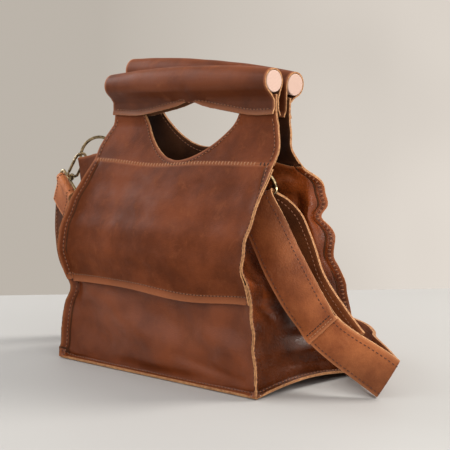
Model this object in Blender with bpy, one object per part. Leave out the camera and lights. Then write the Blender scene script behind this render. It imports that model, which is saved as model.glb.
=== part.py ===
# Leather lunch bag with two dowel handles, pleated gussets, raw-edge seams and a clip-on shoulder strap.
# Metres, +Z up, the front towards -Y, the origin on the floor under the middle of the base.
import math

import bpy
import numpy as np
from mathutils import Matrix, Vector

for old in list(bpy.data.objects):
    bpy.data.objects.remove(old, do_unlink=True)

# Leather
body_ply = 0.0018
handle_ply = 0.0014
strap_ply = 0.0018
seam_gap = 0.0004
raw_edge = 0.009

# The body: the width and depth of its base out to the raw edges, and the height of its neck seam
body_width = 0.282
body_depth = 0.147
neck_height = 0.204
base_half_width = body_width / 2
base_half_depth = body_depth / 2
hem_lap = 0.018
base_arch = 0.0075

# Heights on the body
hem_height = 0.4093 * neck_height
belly_height = 0.5882 * neck_height
shoulder_height = 0.8431 * neck_height

# The raw edges from the floor up, as shares of the base's half width and half depth
half_width_shares = {"base": 1.0, "hem": 0.9397, "belly": 0.9326, "shoulder": 0.9255, "neck": 0.8957}
front_depth_shares = {"base": 0.9864, "hem": 0.9388, "belly": 1.0680,
                      "shoulder": 0.7551, "neck": 0.4218, "tongue": 0.1701}
back_depth_shares = {"base": 1.0136, "hem": 0.8163, "belly": 0.6327,
                     "shoulder": 0.4762, "neck": 0.1905, "tongue": 0.0789}

# How far the middle of each wall swells past its seams
front_swell = 0.004
lower_swell = 0.001

# Folds of the gussets: the fold line from the floor up, as shares of the base's half width
right_fold_shares = {"base": 0.9291, "hem": 0.7943, "belly": 0.5674, "shoulder": 0.2979, "neck": 0.2553}
left_fold_shares = {"base": 0.9291, "hem": 0.9149, "belly": 0.9645, "shoulder": 1.1773, "neck": 1.2482}
right_fold_y = -0.1224 * base_half_depth
left_fold_y = -0.2041 * base_half_depth
right_fold_roundness = (0.62, 0.35)
left_fold_roundness = (0.40, 0.40)

# How far the gussets' top edges stand above the neck, next to the seams and at the fold
right_top_rises = (0.0030, 0.0080)
left_top_rises = (0.0140, 0.0030)

# Handles
dowel_radius = 0.0100
dowel_edge = 0.0006
sleeve_half_length = half_width_shares["neck"] * base_half_width - 0.0128
dowel_half_length = sleeve_half_length + 0.0005
sleeve_drop = 0.0307
sleeve_pinch = 0.0090
pinch_spread = 0.28
tongue_drop = 0.0120
front_dowel_rise = 0.0750
back_dowel_rise = 0.0816
front_dowel_lean = 0.0028
back_dowel_lean = 0.0076
back_tilt = math.radians(5.1)
sleeve_crown = 0.0050
sleeve_rows = 15
sleeve_points = 15

# Hand holes, cut into the yokes from the top
hole_half_width = 0.63 * sleeve_half_length
hole_curve_power = 1.75
front_hole_bottom = 0.0035
back_hole_bottom = 0.0150
hole_columns = 17
arm_columns = 4
yoke_rows = 7

# Yoke edge above the neck
yoke_top_half_width = sleeve_half_length + 0.0010
yoke_taper_start = 0.0135
yoke_taper_end = 0.0400

# Brass hardware
ring_radius = 0.0207
ring_wire = 0.0017
ring_rise = 0.0145
ring_bar_half_length = 0.0125
ring_gap_angle = 30
ring_clearance = 0.0020
hook_wire = 0.0016
eye_half_width = 0.0216
eye_corner = 0.0020
eye_height = 0.0085
hook_length = 0.0440
hook_half_width = 0.0062
collar_height = 0.0040
collar_radius = 0.0034
pin_radius = 0.0014
pin_head_radius = 0.0021
hardware_gap = 0.0004
tab_half_width = 0.0100
tab_length = 0.0200

# How each ring, hook and eye hangs: the height of the wire in its tab as a share of the neck's, the share of
# the way from the gusset's fold to its back seam, the ring's lean out, the angle round the ring where the
# hook holds it, the hook's axis and the eye's bar
hangers = {
    "left": {"tab_z": 0.8873, "share": 0.12, "lean": math.radians(12), "hold": math.radians(183),
             "axis": (0.565, 0.080, 0.820), "bar": (0.94, -0.17, -0.225)},
    "right": {"tab_z": 0.7353, "share": 0.30, "lean": math.radians(16), "hold": math.radians(92),
              "axis": (-0.526, 0.458, 0.715), "bar": (0.85, 0.30, 0.43)},
}

# Strap
strap_width = 0.0380
strap_turn_length = 0.0300
strap_fold_radius = 0.0040

# The strap's way from the left eye to the right one and down again: the middle of the band, in half widths,
# half depths and neck heights of the body, and the direction across it; on the floor the middle of the band
# and how far it leans over from lying flat
left_hang = (
    ((-1.4326, -0.1769, 0.5882), (0.94, -0.17, -0.12)),
    ((-1.4397, -0.0544, 0.4167), (0.97, -0.10, 0.00)),
    ((-1.4113, 0.3129, 0.2304), (1.00, 0.00, 0.05)),
)
floor_run = (
    ((-1.2908, 0.7619), 15),
    ((-1.1348, 1.3333), 35),
    ((-0.7943, 1.8367), 58),
    ((-0.3191, 2.0952), 74),
    ((0.2128, 2.0952), 88),
    ((0.6950, 1.6871), 98),
    ((0.9929, 1.2653), 92),
)
to_fold_run = (
    ((1.1631, 0.7755, 0.1127), (0.20, 0.20, 0.96)),
    ((1.3830, 0.4218, 0.0980), (0.40, 0.34, 0.85)),
)

strap_fold = (1.5879, 0.1170, 0.0858)
strap_fold_line = (0.43, 0.30, 0.85)
strap_fold_from = (0.78, -0.62, 0.00)
front_run = (
    ((1.1709, -0.1932, 0.2951), (0.74, 0.15, 0.65)),
    ((0.9298, -0.2993, 0.5407), (0.58, 0.58, 0.56)),
    ((0.7660, -0.2993, 0.7157), (0.76, 0.42, 0.49)),
)
back_run = (
    ((0.7482, 0.0204, 0.7500), (0.80, 0.25, 0.54)),
    ((0.8688, 0.0544, 0.6103), (0.79, 0.20, 0.56)),
    ((0.9681, 0.0544, 0.4569), (0.78, 0.18, 0.56)),
    ((1.1936, 0.0612, 0.2819), (0.73, 0.17, 0.66)),
    ((1.3369, 0.0000, 0.2132), (0.70, 0.15, 0.70)),
)

leather_brown = (0.165, 0.062, 0.030, 1.0)
leather_dark = (0.035, 0.018, 0.010, 1.0)
leather_lit = (0.250, 0.100, 0.045, 1.0)
wood_pale = (0.780, 0.610, 0.480, 1.0)
brass_old = (0.420, 0.320, 0.170, 1.0)


def unit(vector):
    vector = np.asarray(vector, dtype=float)
    return vector / np.linalg.norm(vector)


def smooth_through(places, values, at):
    # A cubic through the stations whose slope at each one is the mean of its two neighbours' slopes.
    places, values = np.asarray(places, float), np.asarray(values, float)
    steps = np.diff(values) / np.diff(places)
    slopes = np.concatenate([[steps[0]], (steps[1:] + steps[:-1]) / 2, [steps[-1]]])
    index = np.clip(np.searchsorted(places, at, side="right") - 1, 0, len(places) - 2)
    span = places[index + 1] - places[index]
    t = (at - places[index]) / span
    rise = values[index + 1] - values[index]
    return (values[index] + t * span * slopes[index]
            + t * t * (3 * rise - span * (2 * slopes[index] + slopes[index + 1]))
            + t ** 3 * (span * (slopes[index] + slopes[index + 1]) - 2 * rise))


def ease(t):
    t = np.clip(t, 0, 1)
    return t * t * (3 - 2 * t)


def bezier(start, pull_start, pull_end, end, count):
    t = np.linspace(0, 1, count)[:, None]
    return ((1 - t) ** 3 * start + 3 * (1 - t) ** 2 * t * pull_start
            + 3 * (1 - t) * t ** 2 * pull_end + t ** 3 * end)


def finish(node, colour, roughness, metallic=0.0):
    material = bpy.data.materials.new(node.name)
    material.use_nodes = True
    shader = material.node_tree.nodes["Principled BSDF"]
    shader.inputs["Base Color"].default_value = colour
    shader.inputs["Roughness"].default_value = roughness
    shader.inputs["Metallic"].default_value = metallic
    node.data.materials.clear()
    node.data.materials.append(material)
    return node


def add_mesh(name, vertices, faces):
    mesh = bpy.data.meshes.new(name)
    mesh.from_pydata([tuple(v) for v in vertices], [], faces)
    mesh.validate()
    node = bpy.data.objects.new(name, mesh)
    bpy.context.scene.collection.objects.link(node)
    return node


def surface_normals(guide):
    across = np.gradient(guide, axis=1)
    along = np.gradient(guide, axis=0)
    normals = np.cross(across, along)
    return normals / np.linalg.norm(normals, axis=2, keepdims=True)


def leather_sheet(name, guide, near, far, colour, roughness=0.45):
    # A closed ply between two offsets of one guide surface; either offset may change from row to row.
    # Each cell splits along its shorter diagonal, so plies on one guide stay parallel where it twists.
    rows, columns = guide.shape[:2]
    normals = surface_normals(guide)
    near_side = guide + normals * np.broadcast_to(near, rows)[:, None, None]
    far_side = guide + normals * np.broadcast_to(far, rows)[:, None, None]
    vertices = np.concatenate([near_side.reshape(-1, 3), far_side.reshape(-1, 3)])
    index = np.arange(rows * columns).reshape(rows, columns)
    other = rows * columns
    faces = []
    for i in range(rows - 1):
        for j in range(columns - 1):
            a, b, c, d = index[i, j], index[i, j + 1], index[i + 1, j + 1], index[i + 1, j]
            rising = np.linalg.norm(guide[i + 1, j + 1] - guide[i, j])
            falling = np.linalg.norm(guide[i + 1, j] - guide[i, j + 1])
            halves = ((a, b, c), (a, c, d)) if rising < falling else ((a, b, d), (b, c, d))
            for p, q, r in halves:
                faces.append((p + other, q + other, r + other))
                faces.append((r, q, p))
    rim = ([index[0, j] for j in range(columns)]
           + [index[i, -1] for i in range(1, rows)]
           + [index[-1, j] for j in range(columns - 2, -1, -1)]
           + [index[i, 0] for i in range(rows - 2, 0, -1)])
    for a, b in zip(rim, rim[1:] + rim[:1]):
        faces.append((b + other, a + other, a, b))
    faces = [tuple(int(v) for v in face) for face in faces]
    node = add_mesh(name, vertices, faces)
    node.data.shade_smooth()
    node.data.set_sharp_from_angle(angle=math.radians(40))
    return finish(node, colour, roughness)


# The walls of the body. Two walls that meet share one flange of raw edges, which stands out at the corner.
guide_floor = body_ply + seam_gap / 2
levels = (guide_floor, hem_height, belly_height, shoulder_height, neck_height)
half_widths = {level: share * base_half_width for level, share in half_width_shares.items()}
front_depths = {level: share * base_half_depth for level, share in front_depth_shares.items()}
back_depths = {level: share * base_half_depth for level, share in back_depth_shares.items()}
front_dowel_y = -front_depths["tongue"] - front_dowel_lean
back_dowel_y = back_depths["tongue"] + back_dowel_lean
front_dowel_z = neck_height + front_dowel_rise
back_dowel_z = neck_height + back_dowel_rise
corner_angle = math.radians(45)
bottom_angles = (0, corner_angle / 2, corner_angle, corner_angle)
corner_columns = 3
curve_columns = 8
lower_wall_rows = 6
upper_wall_rows = 9
base_columns = 17
base_rows = 9
turn_up = 1.4
outer_offsets = (seam_gap / 2, seam_gap / 2 + body_ply)


def half_width_at(z):
    return float(smooth_through(levels, list(half_widths.values()), z))


def depth_at(depths, z):
    # Above the neck the wall carries on as the yoke, which is upright from just under its handle.
    dowel_z = front_dowel_z if depths is front_depths else back_dowel_z
    tongue_level = dowel_z - sleeve_drop - raw_edge
    return smooth_through(levels + (tongue_level,), list(depths.values()), np.minimum(z, tongue_level))


def flange_angle_at(z):
    # The flanges stand out at the corners and flatten towards the neck, where the front and back close.
    return corner_angle * (1 - ease((z - shoulder_height) / (neck_height - shoulder_height)))


def wall_row(edge_z, middle_z, half_width, tip_depth, middle_depth, angle):
    # One level of a front or back wall, from raw edge to raw edge; x, the distance outward and z.
    tip = np.array([half_width, tip_depth])
    flange = np.array([math.cos(angle), math.sin(angle)])
    root = tip - raw_edge * flange
    reach = root[0] / 3
    middle = np.array([0, middle_depth])
    curve = bezier(root, root - flange * raw_edge, middle + np.array([reach, 0]), middle, curve_columns)
    edge = np.linspace(tip, root, corner_columns)
    half = np.concatenate([edge[:-1], curve])
    height = middle_z + (edge_z - middle_z) * (1 - ease(np.arange(len(half)) / corner_columns))
    half = np.column_stack([half, height])
    return np.concatenate([half * (-1, 1, 1), half[-2::-1]])


def bottom_rows(depths):
    # The lower wall turns outward along the floor; its rows start at the raw edge.
    depth = depths["base"]
    turn = raw_edge / 3
    middles = ((0, depth), (0, depth - raw_edge / 2), (seam_gap, depth - raw_edge),
               (turn, depth - raw_edge - turn / 2))
    return [(guide_floor + step * turn, guide_floor + rise, base_half_width, depth, middle, angle)
            for step, ((rise, middle), angle) in enumerate(zip(middles, bottom_angles))]


def wall_rows(depths, swell, heights):
    rows = []
    for z in heights:
        angle = flange_angle_at(z)
        tip_depth = depth_at(depths, z)
        middle = tip_depth - raw_edge * math.sin(angle) + swell * math.sin(math.pi * z / neck_height)
        rows.append((z, z, half_width_at(z), tip_depth, middle, angle))
    return rows


def floor_lift(x, y):
    # The base bows up a little between its corners at the two ends.
    along = (y + front_depths["base"]) / (front_depths["base"] + back_depths["base"])
    return base_arch * np.sin(math.pi * np.clip(along, 0, 1)) * ease(2 * np.abs(x) / base_half_width - 1)


def bowed(guide):
    # Walls follow the bow of the base where they meet it and lose it by the height of the hem.
    bent = guide.copy()
    bent[:, :, 2] += floor_lift(guide[:, :, 0], guide[:, :, 1]) * (1 - ease(guide[:, :, 2] / hem_height))
    return bent


def wall_guide(rows, outward):
    # outward is -1 for the front and 1 for the back; columns run so that the normals point outward.
    guide = np.array([wall_row(*row) for row in rows])
    guide[:, :, 1] *= outward
    return bowed(guide if outward < 0 else guide[:, ::-1])


lower_top = hem_height + hem_lap
wall_start = guide_floor + raw_edge * turn_up
wall_heights = np.concatenate([np.linspace(wall_start, hem_height, lower_wall_rows),
                               np.linspace(lower_top, neck_height - seam_gap, upper_wall_rows)])
lower_heights = wall_heights[wall_heights < lower_top + seam_gap]
upper_heights = wall_heights[wall_heights > hem_height - seam_gap]
ramp = 1 - ease((upper_heights - lower_top - 2 * body_ply) / hem_lap)
second_layer = (body_ply + seam_gap) * ramp

for side, outward, depths in (("front", -1, front_depths), ("back", 1, back_depths)):
    lower = wall_guide(bottom_rows(depths) + wall_rows(depths, lower_swell, lower_heights), outward)
    leather_sheet(side + "_lower_panel", lower, *outer_offsets, leather_brown)
    upper = wall_guide(wall_rows(depths, front_swell, upper_heights), outward)
    leather_sheet(side + "_panel", upper, outer_offsets[0] + second_layer, outer_offsets[1] + second_layer,
                  leather_brown)


def gusset_row(edge_z, middle_z, half_width, front_tip, back_tip, fold, roundness, angle):
    # One level of the right gusset, from the front raw edge round the fold to the back raw edge.
    halves = []
    for tip_y, outward, fullness in ((-front_tip, -1, roundness[0]), (back_tip, 1, roundness[1])):
        tip = np.array([half_width, tip_y])
        flange = np.array([math.cos(angle), outward * math.sin(angle)])
        root = tip - raw_edge * flange
        turned = ease((fold[0] - root[0]) / (4 * raw_edge))
        hand = np.array([min(fold[0], root[0]), fold[1] + (root[1] - fold[1]) * fullness])
        curve = bezier(root, root - flange * raw_edge * (1 + turned), hand, fold, curve_columns)
        half = np.concatenate([np.linspace(tip, root, corner_columns)[:-1], curve])
        height = middle_z + (edge_z - middle_z) * (1 - ease(np.arange(len(half)) / corner_columns))
        halves.append(np.column_stack([half, height]))
    return np.concatenate([halves[0], halves[1][-2::-1]])


def gusset_guide(fold_shares, fold_y, roundness, top_rises, heights):
    folds = [share * base_half_width for share in fold_shares.values()]
    front, back = front_depths["base"], back_depths["base"]
    turn = raw_edge / 3
    middles = ((0, 0), (0, raw_edge / 2), (seam_gap, raw_edge), (turn, raw_edge + turn / 2))
    rows = [gusset_row(guide_floor + step * turn, guide_floor + rise, base_half_width, front, back,
                       np.array([base_half_width - inset, 0]), roundness, math.radians(90) - angle)
            for step, ((rise, inset), angle) in enumerate(zip(middles, bottom_angles))]
    for z in heights:
        share = ease((z - heights[0]) / (hem_height - heights[0]))
        fold = np.array([float(smooth_through(levels, folds, z)), fold_y * share])
        narrowing = 1 - ease((z - shoulder_height) / (neck_height - shoulder_height)) / 2
        rows.append(gusset_row(z, z, half_width_at(z), depth_at(front_depths, z), depth_at(back_depths, z),
                               fold, np.multiply(roundness, narrowing), flange_angle_at(z)))
    guide = np.array(rows)
    guide[-1] += (guide[-2] - guide[-1]) * 1.5 * body_ply / (heights[-1] - heights[-2])

    # Between the seams the top edge stands higher than at them, most of all next to the seams.
    middle = guide.shape[1] // 2
    steps = np.linalg.norm(np.diff(guide[-1], axis=0), axis=1)
    travelled = np.concatenate([[0], np.cumsum(steps)]) - raw_edge
    from_seam = np.minimum(travelled, travelled[-1] - raw_edge - travelled)
    share = from_seam / from_seam[middle]
    crest = ease(from_seam / (1.5 * raw_edge) - 1) * (top_rises[0] + (top_rises[1] - top_rises[0]) * share)
    upper = ease((guide[:, :, 2] - shoulder_height) / (neck_height - shoulder_height))
    guide[:, :, 2] += crest * upper
    return bowed(guide)


right_guide = gusset_guide(right_fold_shares, right_fold_y, right_fold_roundness, right_top_rises,
                           wall_heights)
left_guide = gusset_guide(left_fold_shares, left_fold_y, left_fold_roundness, left_top_rises, wall_heights)
gusset_guides = {"right": right_guide, "left": (left_guide * (-1, 1, 1))[:, ::-1]}
for side, guide in gusset_guides.items():
    leather_sheet(side + "_gusset", guide, *outer_offsets, leather_brown, 0.35)

# Base
across_places = np.linspace(-base_half_width, base_half_width, base_columns)
along_places = np.linspace(-front_depths["base"], back_depths["base"], base_rows)
base_y, base_x = np.meshgrid(along_places, across_places, indexing="ij")
base_guide = np.stack([base_x, base_y, guide_floor + floor_lift(base_x, base_y)], axis=2)
leather_sheet("base_panel", base_guide[::-1], *outer_offsets, leather_brown)


# Handles
def teardrop(shift, half_gap, radius, neck_drop, drops, count):
    # Section of a strip that goes up one side of a tongue, round a rod at the origin and down again:
    # two straight flaps, two tangents and an arc. shift moves the tongue sideways from the rod.
    ends = []
    for side in (-1, 1):
        flap = np.array([shift + side * half_gap, -neck_drop])
        distance = np.linalg.norm(flap)
        angle = math.atan2(flap[1], flap[0]) % (2 * math.pi) + side * math.acos(radius / distance)
        ends.append((flap, angle))
    (first, start), (second, stop) = ends
    angles = np.linspace(start, stop - 2 * math.pi, count)
    arc = radius * np.column_stack([np.cos(angles), np.sin(angles)])
    down = np.array([0, -1])
    rise = np.linspace(drops[0] - neck_drop, 0, 3)[:, None]
    fall = np.linspace(0, drops[1] - neck_drop, 3)[:, None]
    return np.concatenate([first + rise * down, arc, second + fall * down])


def yoke_guide(depths, outward, top_z, hole_bottom, tilt, start_z):
    # Columns run from edge to edge, closer together round the hand hole that is cut down from the top.
    angles = np.linspace(-math.pi / 2, math.pi / 2, hole_columns)
    hole_x = hole_half_width * np.sin(angles)
    arm = np.linspace(0, 1, arm_columns, endpoint=False)
    hole_depth = top_z - neck_height - hole_bottom
    side = (1 - np.abs(np.sin(angles)) ** hole_curve_power) ** (1 / hole_curve_power)
    beside = np.full(arm_columns, top_z)
    tops = np.concatenate([beside, top_z - hole_depth * side, beside])
    shares = np.linspace(0, 1, yoke_rows)[:, None]
    z = start_z + shares * (tops - start_z)
    neck = half_widths["neck"]
    edge = smooth_through((0, yoke_taper_start, yoke_taper_end, top_z - neck_height + raw_edge),
                          (neck, neck, yoke_top_half_width, yoke_top_half_width),
                          z[:, :1] - neck_height)
    left = -edge + (edge - hole_half_width) * arm
    x = np.concatenate([left, np.broadcast_to(hole_x, (len(shares), len(hole_x))), -left[:, ::-1]], axis=1)
    y = outward * depth_at(depths, z)
    z = z - math.tan(tilt) * x * (z - neck_height) / (top_z - neck_height)
    guide = np.stack([x, y, z], axis=2)
    return guide if outward < 0 else guide[:, ::-1]


flap_middle = 1.5 * (handle_ply + seam_gap)
wrap_radius = dowel_radius + seam_gap + handle_ply / 2


def sleeve_guide(dowel_y, dowel_z, tongue_y, tilt):
    rows = []
    for share in np.linspace(-1, 1, sleeve_rows):
        pinch = sleeve_pinch * math.exp(-(share / pinch_spread) ** 2)
        section = teardrop(tongue_y - dowel_y, flap_middle, wrap_radius, 1.5 * wrap_radius,
                           (sleeve_drop - pinch, sleeve_drop - pinch + handle_ply), sleeve_points)
        crown = sleeve_crown * (1 - share ** 2)
        raised = np.clip(section[:, 1] / wrap_radius, 0, 1) * crown
        rows.append(np.column_stack([np.full(len(section), share * sleeve_half_length),
                                     section[:, 0], section[:, 1] + raised]))
    guide = np.array(rows)
    x, z = guide[:, :, 0].copy(), guide[:, :, 2].copy()
    guide[:, :, 0] = x * math.cos(tilt) + z * math.sin(tilt)
    guide[:, :, 2] = z * math.cos(tilt) - x * math.sin(tilt) + dowel_z
    guide[:, :, 1] += dowel_y
    return guide


def round_bar(name, radius, length, colour, roughness, metallic, edge):
    bpy.ops.mesh.primitive_cylinder_add(vertices=32, radius=radius, depth=length)
    bar = bpy.context.object
    bar.name = name
    bevel = bar.modifiers.new("Rounded ends", "BEVEL")
    bevel.width = edge
    bevel.segments = 2
    bevel.limit_method = "ANGLE"
    bar.data.shade_smooth()
    bar.data.set_sharp_from_angle(angle=math.radians(40))
    return finish(bar, colour, roughness, metallic)


def axis_empty(name, location):
    empty = bpy.data.objects.new(name, None)
    empty.location = location
    bpy.context.scene.collection.objects.link(empty)
    return empty


def hang_on(parent, *children):
    bpy.context.view_layer.update()
    for child in children:
        child.parent = parent
        child.matrix_parent_inverse = parent.matrix_world.inverted()


inner_offsets = (-seam_gap / 2 - handle_ply, -seam_gap / 2)
yoke_offsets = (seam_gap / 2, seam_gap / 2 + handle_ply)
handles = (
    ("front", -1, front_depths, front_dowel_y, front_dowel_z, front_hole_bottom, 0.0),
    ("back", 1, back_depths, back_dowel_y, back_dowel_z, back_hole_bottom, back_tilt),
)
for side, outward, depths, dowel_y, dowel_z, hole_bottom, tilt in handles:
    top_z = dowel_z - tongue_drop
    seam_z = neck_height + seam_gap
    between = yoke_guide(depths, outward, top_z, hole_bottom, tilt, seam_z)
    yoke = leather_sheet(side + "_yoke", between, *yoke_offsets, leather_brown)
    facing = leather_sheet(side + "_yoke_facing", between, *inner_offsets, leather_dark)
    wrap = sleeve_guide(dowel_y, dowel_z, outward * depths["tongue"], tilt)
    sleeve = leather_sheet(side + "_handle_sleeve", wrap, -handle_ply / 2, handle_ply / 2, leather_lit)
    dowel = round_bar(side + "_dowel", dowel_radius, 2 * dowel_half_length, wood_pale, 0.6, 0.0, dowel_edge)
    dowel.rotation_euler = (0, math.radians(90) + tilt, 0)
    dowel.location = (0, dowel_y, dowel_z)
    hinge = axis_empty(side + "_handle_axis", (0, outward * (depths["neck"] + yoke_offsets[1]), neck_height))
    hang_on(hinge, yoke, facing, sleeve, dowel)


# Brass hardware
def tube(name, path, radius, closed=False, sections=8):
    # A round wire along a path in the XZ plane. radius is one value or one for each point of the path.
    path = np.asarray(path, float)
    before, after = np.roll(path, 1, axis=0), np.roll(path, -1, axis=0)
    if not closed:
        before[0], after[-1] = path[0], path[-1]
    tangents = after - before
    tangents /= np.linalg.norm(tangents, axis=1, keepdims=True)
    side = np.array([0.0, 1.0, 0.0])
    across = np.cross(side, tangents)
    turns = np.linspace(0, 2 * math.pi, sections, endpoint=False)
    radii = np.broadcast_to(radius, len(path))[:, None, None]
    rings = path[:, None] + radii * (np.cos(turns)[None, :, None] * across[:, None]
                                     + np.sin(turns)[None, :, None] * side)
    count = len(path)
    faces = []
    for i in range(count if closed else count - 1):
        for j in range(sections):
            a, b = i * sections + j, i * sections + (j + 1) % sections
            c, d = (i + 1) % count * sections + (j + 1) % sections, (i + 1) % count * sections + j
            faces.append((a, b, c, d))
    if not closed:
        faces.append(tuple(range(sections))[::-1])
        faces.append(tuple(range((count - 1) * sections, count * sections)))
    node = add_mesh(name, rings.reshape(-1, 3), faces)
    node.data.shade_smooth()
    node.data.set_sharp_from_angle(angle=math.radians(50))
    return finish(node, brass_old, 0.35, 1.0)


def arc(x, z, radius, start, stop, count):
    angles = np.radians(np.linspace(start, stop, count))
    return [(x + radius * math.cos(a), 0, z + radius * math.sin(a)) for a in angles]


def post(name, radius, bottom, top):
    return tube(name, [(0, 0, bottom), (0, 0, top)], radius, sections=12)


def combine(target, operation, *others):
    for other in others:
        modifier = target.modifiers.new(other.name, "BOOLEAN")
        modifier.operation = operation
        modifier.object = other
        other.hide_render = True
        other.display_type = "WIRE"
        hang_on(target, other)


def frame_at(origin, x_axis, z_axis):
    z_axis = unit(z_axis)
    x_axis = unit(np.asarray(x_axis, float) - np.dot(x_axis, z_axis) * z_axis)
    y_axis = np.cross(z_axis, x_axis)
    rows = np.column_stack([x_axis, y_axis, z_axis, origin])
    return Matrix(np.vstack([rows, (0, 0, 0, 1)]))


def between_points(guide, row, column):
    # A point of a guide surface at a fractional row and column.
    i, j = min(int(row), guide.shape[0] - 2), min(int(column), guide.shape[1] - 2)
    u, v = row - i, column - j
    return ((guide[i, j] * (1 - v) + guide[i, j + 1] * v) * (1 - u)
            + (guide[i + 1, j] * (1 - v) + guide[i + 1, j + 1] * v) * u)


def gusset_place(side, height, share):
    # The place on the back half of a gusset at a height and a share of the way from its fold to the seam,
    # with the directions along the leather to the back seam, up it and out of it.
    guide = gusset_guides[side]
    middle = guide.shape[1] // 2
    row = float(np.interp(height, guide[:, middle, 2], np.arange(len(guide))))
    toward_back = 1 if side == "right" else -1
    column = middle + toward_back * share * (curve_columns - 1)
    point = between_points(guide, row, column)
    nearer_fold = between_points(guide, row, column - toward_back)
    along = unit(between_points(guide, row, column + toward_back) - nearer_fold)
    up = between_points(guide, row + 1, column) - between_points(guide, row - 1, column)
    up = unit(up - np.dot(up, along) * along)
    return point, along, up, np.cross(along, up) * toward_back


def back_half(side):
    # The points of a gusset's guide from its fold to its back seam.
    middle = gusset_guides[side].shape[1] // 2
    last = middle + curve_columns
    columns = slice(middle, last) if side == "right" else slice(-last, -middle)
    return gusset_guides[side][:, columns].reshape(-1, 3)


def ring_tab(side, hanger):
    # A strip of leather goes round the ring's wire with both legs flat on the outside of the gusset.
    ply = body_ply
    radius = ring_wire + hardware_gap + ply / 2
    point, along, up, out = gusset_place(side, hanger["tab_z"] * neck_height, hanger["share"])
    near = back_half(side) - point
    under = (np.abs(near @ along) < 1.5 * tab_half_width) & (np.abs(near @ up) < tab_length)
    stand_off = max(0, np.max((near @ out)[under])) + outer_offsets[1]
    wire = point + out * (stand_off + seam_gap + ply / 2 + radius) + up * tab_length / 2
    half_gap = (ply + seam_gap) / 2
    section = teardrop(half_gap - radius, half_gap, radius, 2 * radius, (tab_length, tab_length), 9)
    places = np.linspace(-tab_half_width, tab_half_width, 3)
    strip = np.array([wire + along * x + section[:, :1] * out + section[:, 1:] * up for x in places])
    if side == "left":
        strip = strip[::-1]
    leather_sheet(side + "_ring_tab", strip, -ply / 2, ply / 2, leather_brown)
    return wire, along, up, out


def ring_lean(side, hanger, wire, along, up, out):
    # The ring leans out as far as it hangs, or further where it would touch the gusset behind it.
    near = back_half(side) - wire
    height = near @ up
    behind = (np.abs(near @ along) < ring_radius) & (height > ring_rise) & (height < ring_rise + ring_radius)
    stand_off = (near @ out)[behind] + outer_offsets[1] + ring_wire + ring_clearance
    return max([hanger["lean"], *np.arctan2(stand_off, height[behind])])


def brass_eye(side, frame):
    # A flat wire loop whose lower bar the strap goes round, with the swivel's pin standing on it.
    round_top = eye_height / 2
    bar_end, top_end = eye_half_width - eye_corner, eye_half_width - round_top
    path = (arc(bar_end, eye_corner, eye_corner, -90, 0, 4)
            + arc(top_end, eye_height - round_top, round_top, 0, 90, 5)
            + arc(-top_end, eye_height - round_top, round_top, 90, 180, 5)
            + arc(-bar_end, eye_corner, eye_corner, 180, 270, 4))
    eye = tube(side + "_eye", path, hook_wire, closed=True)
    pin = post(side + "_eye_pin", pin_radius, eye_height, collar_top + 2 * hardware_gap)
    head_bottom = collar_top + hardware_gap
    head = post(side + "_eye_pin_head", pin_head_radius, head_bottom, head_bottom + pin_radius)
    combine(eye, "UNION", pin, head)
    eye.matrix_world = frame


def swivel_hook(side, frame):
    # A collar that turns on the eye's pin, a long arm bent over the ring, and a stub under the gate.
    middle = (collar_bottom + collar_top) / 2
    shoulder = hook_length - hook_half_width
    arm = [(hook_wire - collar_radius, 0, middle), (-hook_half_width, 0, middle + 2 * hook_wire),
           (-hook_half_width, 0, (middle + shoulder) / 2)]
    bend = arc(0, shoulder, hook_half_width, 180, 0, 9)
    gate_foot = collar_top + 3 * hook_wire
    gate_head = shoulder - 2 * hook_wire
    tip = [(hook_half_width, 0, gate_head + hook_wire + hardware_gap)]
    hook = tube(side + "_hook", arm + bend + tip, hook_wire)
    collar = post(side + "_hook_collar", collar_radius, collar_bottom, collar_top)
    stub_top = gate_foot - hook_wire - hardware_gap
    stub = tube(side + "_hook_stub", [(collar_radius - hook_wire, 0, middle),
                                      (hook_half_width, 0, stub_top - hook_wire),
                                      (hook_half_width, 0, stub_top)], hook_wire)
    bore = post(side + "_hook_bore", pin_radius + hardware_gap,
                collar_bottom - hook_wire, collar_top + hook_wire)
    combine(hook, "UNION", collar, stub)
    combine(hook, "DIFFERENCE", bore)
    hook.matrix_world = frame

    # The gate's origin is on its hinge, at its foot.
    rounding = np.array([-1.0, -0.7, 0.0])
    bottom = [(0, 0, hook_wire * share) for share in rounding]
    top = [(0, 0, gate_head - gate_foot - hook_wire * share) for share in rounding[::-1]]
    shares = np.concatenate([rounding, rounding[::-1]])
    radii = hook_wire * np.sqrt(np.maximum(1 - shares ** 2, 0.1))
    gate = tube(side + "_gate", bottom + top, radii)
    gate.matrix_world = frame @ Matrix.Translation(Vector((hook_half_width, 0, gate_foot)))


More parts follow.
